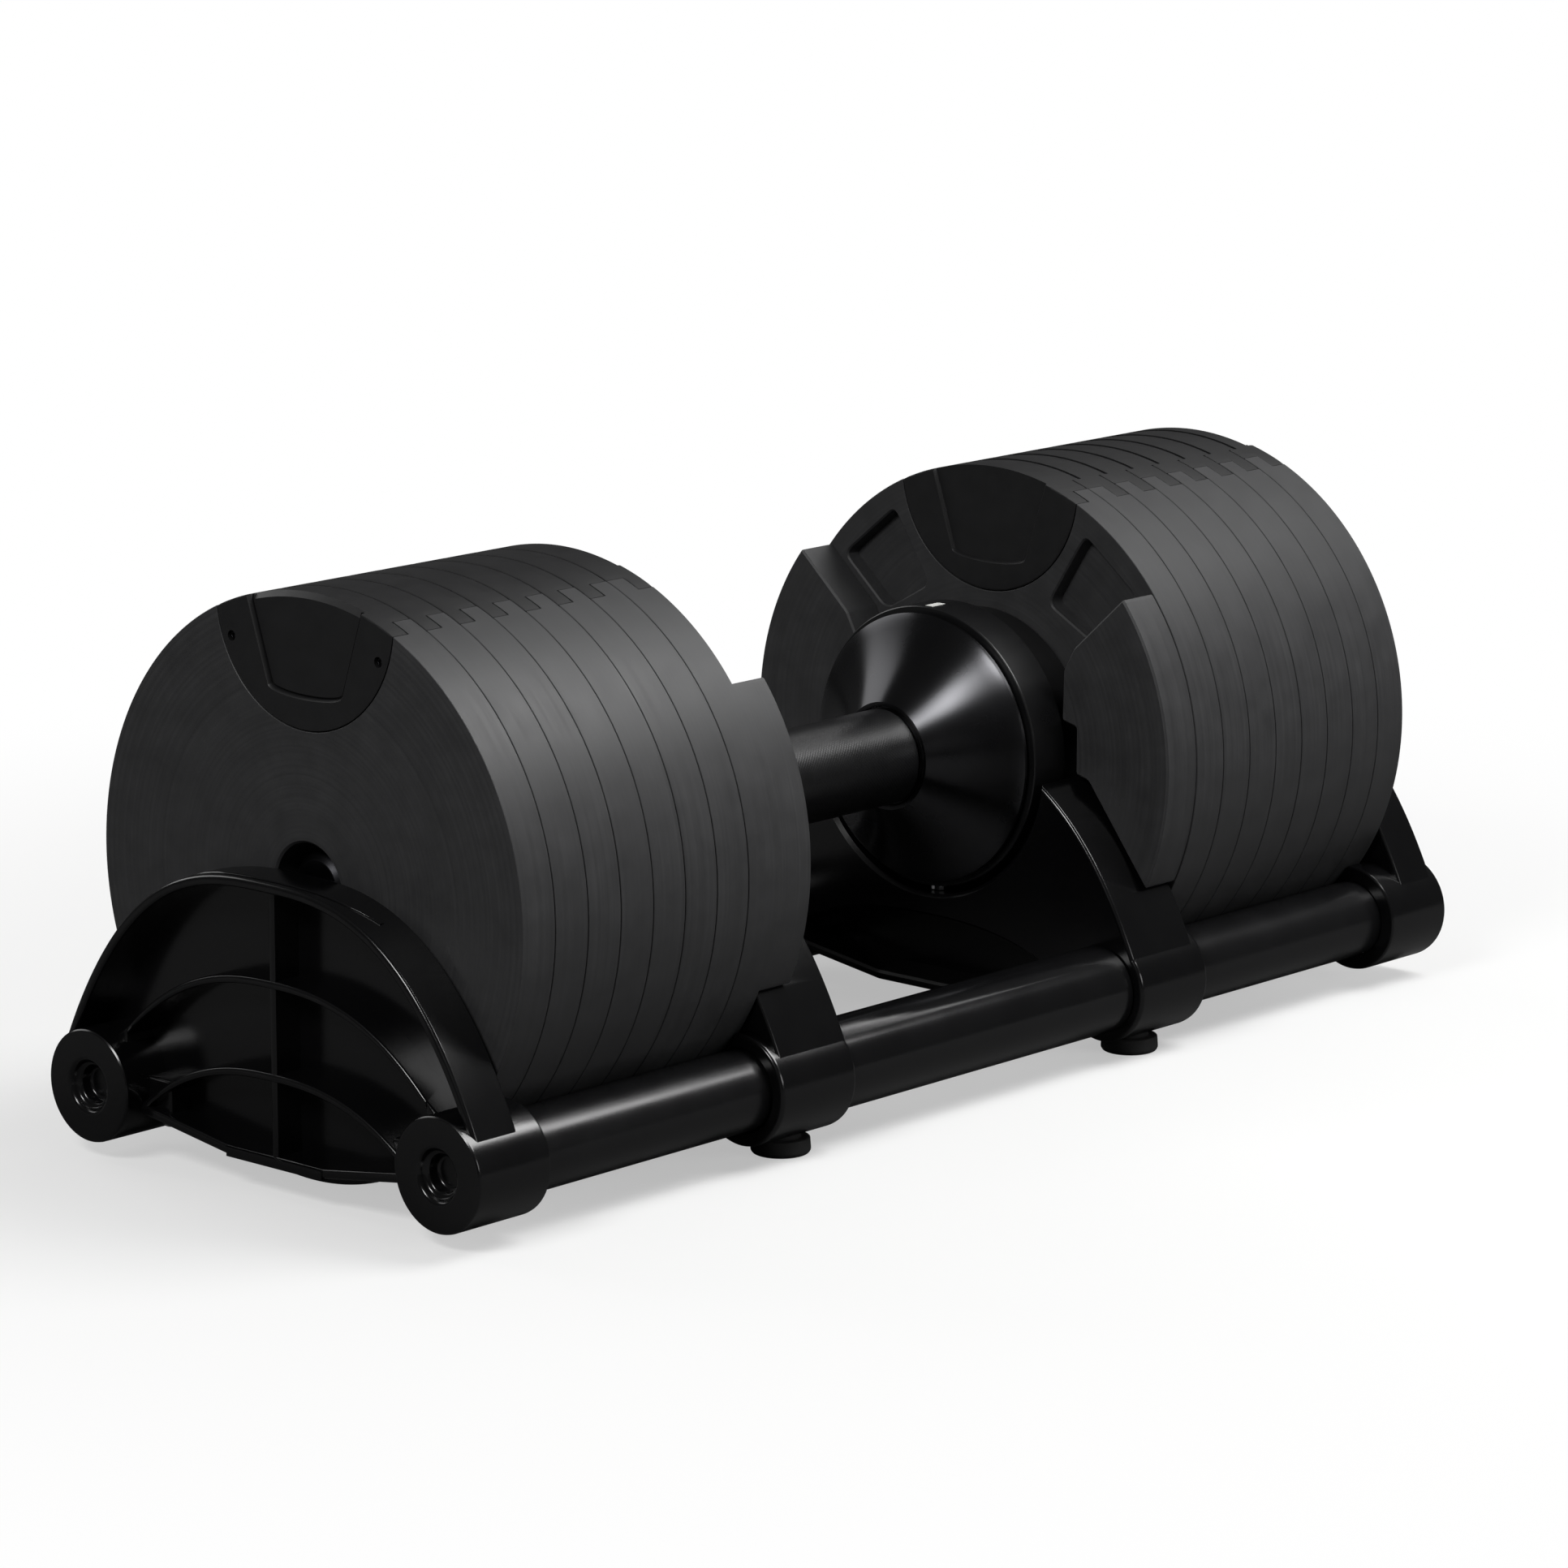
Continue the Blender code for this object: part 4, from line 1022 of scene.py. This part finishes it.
def end_boss(across):
    """A rail's end boss: rounded rim, flat ring face and a stepped recess."""
    recess = [(BOSS_FAR - depth, radius) for depth, radius in BOSS_RECESS]
    profile = [(BOSS_NEAR, 0.0), (BOSS_NEAR, BOSS_R), (BOSS_FAR, BOSS_R)] + recess
    return turned("boss", softened(profile, BOSS_ROUND, closed=False), ROUND, across, RAIL_UP)


def pinch_pad(across):
    """The lug beside a boss that a pinch screw bears on."""
    centre = math.copysign(abs(across) - BOSS_R - PINCH_GAP, across)
    near, far = centre - PINCH_HALF, centre + PINCH_HALF
    foot = lip_up(centre)
    top = foot + PINCH_TALL
    loop = softened([(near, foot), (far, foot), (far, top), (near, top)], 0.0010)
    profile = edges(END_NEAR + WALL / 2, END_NEAR + PINCH_DEPTH, BURIED, 0.0009)
    return extruded("pinch_pad", loop, profile)


def end_ribs(back, front):
    """The two arched ribs and the middle one."""
    reach_share = RIB_END / BRACKET_HALF
    parts = []
    for start in RIB_STARTS:
        top = rib_line(start, RIB_CURVE, reach_share)
        low = rib_line(start, RIB_CURVE, reach_share, RIB)
        parts.append(extruded("rib", strip(top, low), edges(back, front, BURIED, RIB_ROUND)))
    half, foot, head = RIB / 2, lip_up(0.0) + WALL / 2, CREST - WALL / 2
    spine = [(-half, foot), (half, foot), (half, head), (-half, head)]
    profile = edges(back, front - SPINE_SETBACK, BURIED, RIB_ROUND)
    return parts + [extruded("spine", spine, profile)]


def end_lip(front):
    """The shelf along the underside, thicker where it is level."""
    under = [(a, lip_up(a)) for a in (0.0, LIP_PAD_HALF, LIP_END)]
    shelf = [(a, up + WALL) for a, up in under]
    lip = extruded("lip", strip(shelf, under), edges(END_NEAR + 0.0002, front, 0.0006, 0.0009))
    half, middle = LIP_PAD_HALF, lip_up(0.0) + WALL / 2
    foot, top = middle - LIP_PAD_DROP, middle + LIP_PAD_RISE
    pad = [(-half, foot), (half, foot), (half, top), (-half, top)]
    profile = edges(front - LIP_PAD_DEPTH, front + LIP_PAD_PROUD, 0.0006, 0.0006, 2)
    return [lip, extruded("lip_pad", pad, profile)]


def end_gussets(back, front):
    """The filled corners where the ribs run into the bosses."""
    top = rib_line(RIB_STARTS[0], RIB_CURVE, RIB_END / BRACKET_HALF)[-1]
    edge = BRACKET_HALF - WALL / 2
    gusset = [top, (edge, RAIL_UP), (RAIL_ACROSS, RAIL_UP), (RIB_END, RAIL_UP)]
    profile = edges(back, front, BURIED, 0.0009)
    return [extruded("gusset", loop, profile) for loop in (gusset, mirrored(gusset))]


def end_brackets():
    """An open-fronted moulding: web, rim band, two arched ribs, a middle rib, lip and bosses."""
    rim = strip(crest_line(), crest_line(WALL))
    rim_sides = edges(END_NEAR, END_FAR, 0.0008, 0.0011, 4)
    web_sides = edges(END_NEAR + 0.0002, END_NEAR + WALL, 0.0002, 0.0002, 1)
    back, front = END_NEAR + WALL / 2, END_FAR - RIB_SETBACK
    for word, side in SIDES.items():
        bracket = extruded(f"end_cradle_{word}", rim, rim_sides)
        parts = [extruded("web", blank_outline(WALL / 2), web_sides)]
        parts += end_ribs(back, front) + end_lip(front) + end_gussets(back, front)
        for across in (-RAIL_ACROSS, RAIL_ACROSS):
            parts += [end_boss(across), pinch_pad(across)]
        joined(bracket, *parts)
        sockets = [
            rod("socket", RAIL_R + FIT, BOSS_NEAR - PAST, RAIL_HALF + FIT, across, RAIL_UP)
            for across in (-RAIL_ACROSS, RAIL_ACROSS)
        ]
        cut(bracket, sweep(BOSS_NEAR - PAST, END_NEAR - 0.0010), *sockets)
        node = (f"end_bracket_{word}",)
        placed(bracket, "cradle", side, CRADLE_FINISH, node)
        crest_pad(word, side)


def crest_pad(word, side):
    """A thin raised panel along the crest, with pointed ends."""
    shape = bmesh.new()
    middle = (END_NEAR + END_FAR) / 2
    rows = []
    for across, up in whole([p for p in crest_line(-CREST_PAD_RISE) if p[0] < CREST_PAD_HALF]):
        taper = 1 - (abs(across) / CREST_PAD_HALF) ** CREST_PAD_POINT
        wide = max(0.0002, CREST_PAD_WIDE * taper)
        edge_up = -CREST_PAD_RISE / 2
        section = (
            (-wide, -CREST_PAD_SUNK), (-wide, edge_up), (-wide * CREST_PAD_BEVEL, 0.0),
            (wide * CREST_PAD_BEVEL, 0.0), (wide, edge_up), (wide, -CREST_PAD_SUNK),
        )
        rows.append([shape.verts.new((across, up + rise, middle + out)) for out, rise in section])
    for near, far in zip(rows, rows[1:]):
        for i in range(len(near)):
            shape.faces.new((near[i - 1], near[i], far[i], far[i - 1]))
    shape.faces.new(rows[0])
    shape.faces.new(rows[-1])
    pad = piece_from(f"crest_panel_{word}", shape)
    placed(pad, "cradle", side, CRADLE_FINISH)


def inner_boss(across):
    profile = [
        (INNER_NEAR, 0.0), (INNER_NEAR, BOSS_R), (INNER_BOSS_FAR, BOSS_R), (INNER_BOSS_FAR, 0.0),
    ]
    return turned("boss", softened(profile, 0.0014, 4, closed=False), ROUND, across, RAIL_UP)


def inner_brackets():
    """The saddles under each hub, hollowed on the side that faces the handle."""
    arch = rib_line(ARCH_START, ARCH_CURVE, (RAIL_ACROSS - BOSS_R) / BRACKET_HALF)
    spring = arch[-1][0]
    half = arch + [(spring, lip_up(spring) + WALL), (LIP_PAD_HALF, lip_up(0.0) + WALL)]
    hollow = softened(half + mirrored(half)[:-1], 0.0008, 2)
    hollow_sides = mouth_near(INNER_NEAR, INNER_NEAR + ARCH_DEPTH, 0.0008, 0.0010)
    cheek = cheek_outline(CHEEK_ROOM)
    room_sides = mouth_far(STACK_NEAR - CHEEK_DEPTH - CHEEK_ROOM, INNER_FAR, 0.0004)
    blank_sides = edges(INNER_NEAR, INNER_FAR, 0.0012, 0.0008, 4)
    for word, side in SIDES.items():
        bracket = extruded(f"inner_cradle_{word}", blank_outline(), blank_sides)
        cut(
            bracket,
            rod("saddle", SADDLE_R, INNER_NEAR, INNER_FAR, flare=0.0012),
            extruded("hollow", hollow, hollow_sides),
            *(extruded("room", loop, room_sides) for loop in (cheek, mirrored(cheek))),
        )
        joined(bracket, *(inner_boss(across) for across in (-RAIL_ACROSS, RAIL_ACROSS)))
        bores = [
            rod("bore", RAIL_R + FIT, INNER_NEAR, INNER_BOSS_FAR, across, RAIL_UP, flare=0.0006)
            for across in (-RAIL_ACROSS, RAIL_ACROSS)
        ]
        cut(bracket, sweep(INNER_FAR + FIT, STACK_NEAR + PLATE_T), *bores)
        node = (f"inner_bracket_{word}",)
        placed(bracket, "cradle", side, CRADLE_FINISH, node)


def rails():
    for end, sign in ENDS.items():
        rail = turned(f"tray_rail_{end}", tube_profile(RAIL_HALF, RAIL_R, RAIL_BORE, 0.0005))
        sleeve_profile = tube_profile(SLEEVE_HALF, SLEEVE_R, RAIL_R + FIT, 0.0005)
        sleeve = turned(f"tray_sleeve_{end}", sleeve_profile)
        pieces = (
            (rail, "rail_steel", RAIL_FINISH, f"rail_{end}"),
            (sleeve, "rail_sleeve", SLEEVE_FINISH, f"rail_sleeve_{end}"),
        )
        for tube, slot, finish, node in pieces:
            placed(tube, "cradle", 1, finish, (node,), sign * RAIL_ACROSS, RAIL_UP)


def upright(node):
    """Where an upright round part stands, its radius and its height."""
    low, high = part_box(node)
    centre = (low + high) / 2
    return (centre.x, centre.y, low.z), (high.x - low.x) / 2, high.z - low.z


def stood_up(piece, place, finish, node):
    piece.location = place
    finished(piece, "cradle", finish, (node,))


def pinch_screw(tag):
    """A domed, cross-slotted screw, head down under the lip."""
    place, radius, tall = upright(f"clamp_screw_{tag}")
    rise = radius * 0.8
    shank_r = radius * 0.58
    head = [(0.0, 0.0), (0.0, radius * 0.75), (rise, radius), (rise, 0.0)]
    screw = turned(f"pinch_screw_{tag}", softened(head, 0.0009, 4, False), 48)
    shank = [(rise / 2, 0.0), (rise / 2, shank_r), (tall, shank_r), (tall, 0.0)]
    joined(screw, turned("shank", shank, 32))
    wide, long = SCREW_SLOT
    slots = [
        block("slot", (-a, a), (-b, b), (-PAST, SCREW_SLOT_DEPTH))
        for a, b in ((wide, long), (long, wide))
    ]
    cut(screw, *slots)
    stood_up(screw, place, ZINC_FINISH, f"clamp_screw_{tag}")


def rubber_foot(tag):
    """A foot with a hollowed sole and a neck that plugs into the bracket."""
    place, radius, tall = upright(f"foot_{tag}")
    shoulder = tall - FOOT_NECK
    profile = [
        (0.0006, 0.0), (0.0006, radius * 0.45), (0.0, radius * 0.5), (0.0, radius * 0.92),
        (0.0010, radius), (shoulder, radius * 0.97), (shoulder, radius * 0.66),
        (tall, radius * 0.64), (tall, 0.0),
    ]
    foot = turned(f"rubber_foot_{tag}", softened(profile, 0.0005, 3, False), 64)
    stood_up(foot, place, RUBBER_FINISH, f"foot_{tag}")


def small_parts():
    for word in SIDES:
        for end in ENDS:
            pinch_screw(f"{word}_{end}")
            rubber_foot(f"{word}_{end}")


# ---- Studio ----


def floor():
    """A pale floor with painted light: a white glow mixed into it lightens the object's shadow near
    it, and fades the floor to the backdrop's white away from the object.
    """
    shape = bmesh.new()
    bmesh.ops.create_circle(shape, cap_ends=True, segments=96, radius=6.0)
    ground = bpy.data.objects.new("studio_floor", bpy.data.meshes.new("studio_floor"))
    shape.to_mesh(ground.data)
    shape.free()
    bpy.context.scene.collection.objects.link(ground)
    made, tree, shader, place = surface("pale_studio_floor", 0.75)
    paper = cloudy(tree, place, 400.0)
    fibres = cloudy(tree, place, 3.0)
    dress(tree, shader, ("#f4f4f3", "#fafaf9"), paper, (0.7, 0.8), fibres, 0.02, 0.0001)
    # Painted light: the camera sees the floor mixed with a white glow, 45% of it near the object
    # and all of it further out, which lightens the shadow that the object casts.
    far = add(tree, "VectorMath", {0: place}, operation="LENGTH").outputs["Value"]
    glow_fade = {"Value": far, "From Min": 0.10, "From Max": 0.62, "To Min": 0.45, "To Max": 1.0}
    share = add(tree, "MapRange", glow_fade, interpolation_type="SMOOTHSTEP").outputs[0]
    ray = add(tree, "LightPath").outputs["Is Camera Ray"]
    painted_glow = add(tree, "Emission", {"Color": linear("#ffffff"), "Strength": 1.0}).outputs[0]
    white = add(tree, "MixShader", {0: share, 1: shader.outputs[0], 2: painted_glow}).outputs[0]
    # What the floor throws back on the object is dimmer, as from a small sheet of paper.
    dim = add(tree, "BsdfDiffuse", {"Color": linear("#6a6a6a")}).outputs[0]
    blend = add(tree, "MixShader", {0: ray, 1: dim, 2: white})
    tree.links.new(blend.outputs[0], tree.nodes["Material Output"].inputs["Surface"])
    ground.data.materials.append(made)


def soft_light(name, direction, distance, width, height, watts):
    """A rectangular soft box that looks at the object."""
    lamp = bpy.data.lights.new(name, "AREA")
    lamp.shape = "RECTANGLE"
    lamp.size = width
    lamp.size_y = height
    lamp.energy = watts
    stand = bpy.data.objects.new(name, lamp)
    toward = Vector(direction).normalized()
    stand.location = Vector((0, 0, AXIS_HEIGHT)) + toward * distance
    stand.rotation_euler = toward.to_track_quat("Z", "Y").to_euler()
    bpy.context.scene.collection.objects.link(stand)


def studio():
    floor()
    soft_light("key_softbox", (0.50, -0.55, 1.0), 1.15, 0.6, 0.6, 11.5)
    soft_light("front_softbox", (0.15, -1.0, 0.30), 1.9, 0.9, 0.5, 5.0)
    soft_light("edge_striplight", (0.72, 0.15, 0.66), 1.6, 0.9, 0.05, 1.0)
    soft_light("left_softbox", (-0.76, -0.16, 0.60), 1.8, 0.6, 0.4, 13.0)
    soft_light("back_softbox", (-0.10, 1.0, 0.55), 2.0, 1.2, 0.9, 6.0)
    world = bpy.data.worlds.new("studio_white")
    world.use_nodes = True
    tree = world.node_tree
    seen = add(tree, "Background", {"Color": linear("#ffffff"), "Strength": 1.0}).outputs[0]
    fill = add(tree, "Background", {"Color": linear("#ffffff"), "Strength": 0.06}).outputs[0]
    ray = add(tree, "LightPath").outputs["Is Camera Ray"]
    both = add(tree, "MixShader", {0: ray, 1: fill, 2: seen})
    tree.links.new(both.outputs[0], tree.nodes["World Output"].inputs["Surface"])
    bpy.context.scene.world = world
    bpy.context.scene.view_settings.view_transform = "Standard"


def camera():
    """The eye stands low at the front left and looks along the stacks."""
    lens = bpy.data.cameras.new("camera")
    lens.lens = 146.0
    lens.sensor_width = 36.0
    eye = bpy.data.objects.new("camera", lens)
    eye.location = (-1.4217, -1.2897, 0.5011)
    aim = Vector((0.0, 0.0, (CAD_BOX[0].z + CAD_BOX[1].z) / 2))
    eye.rotation_euler = (aim - eye.location).to_track_quat("-Z", "Y").to_euler()
    bpy.context.scene.collection.objects.link(eye)
    bpy.context.scene.camera = eye


loose_plates()
fixed_plates()
grip()
flanges()
hubs()
locking_bars()
hidden_works()
end_brackets()
inner_brackets()
rails()
small_parts()
studio()
camera()
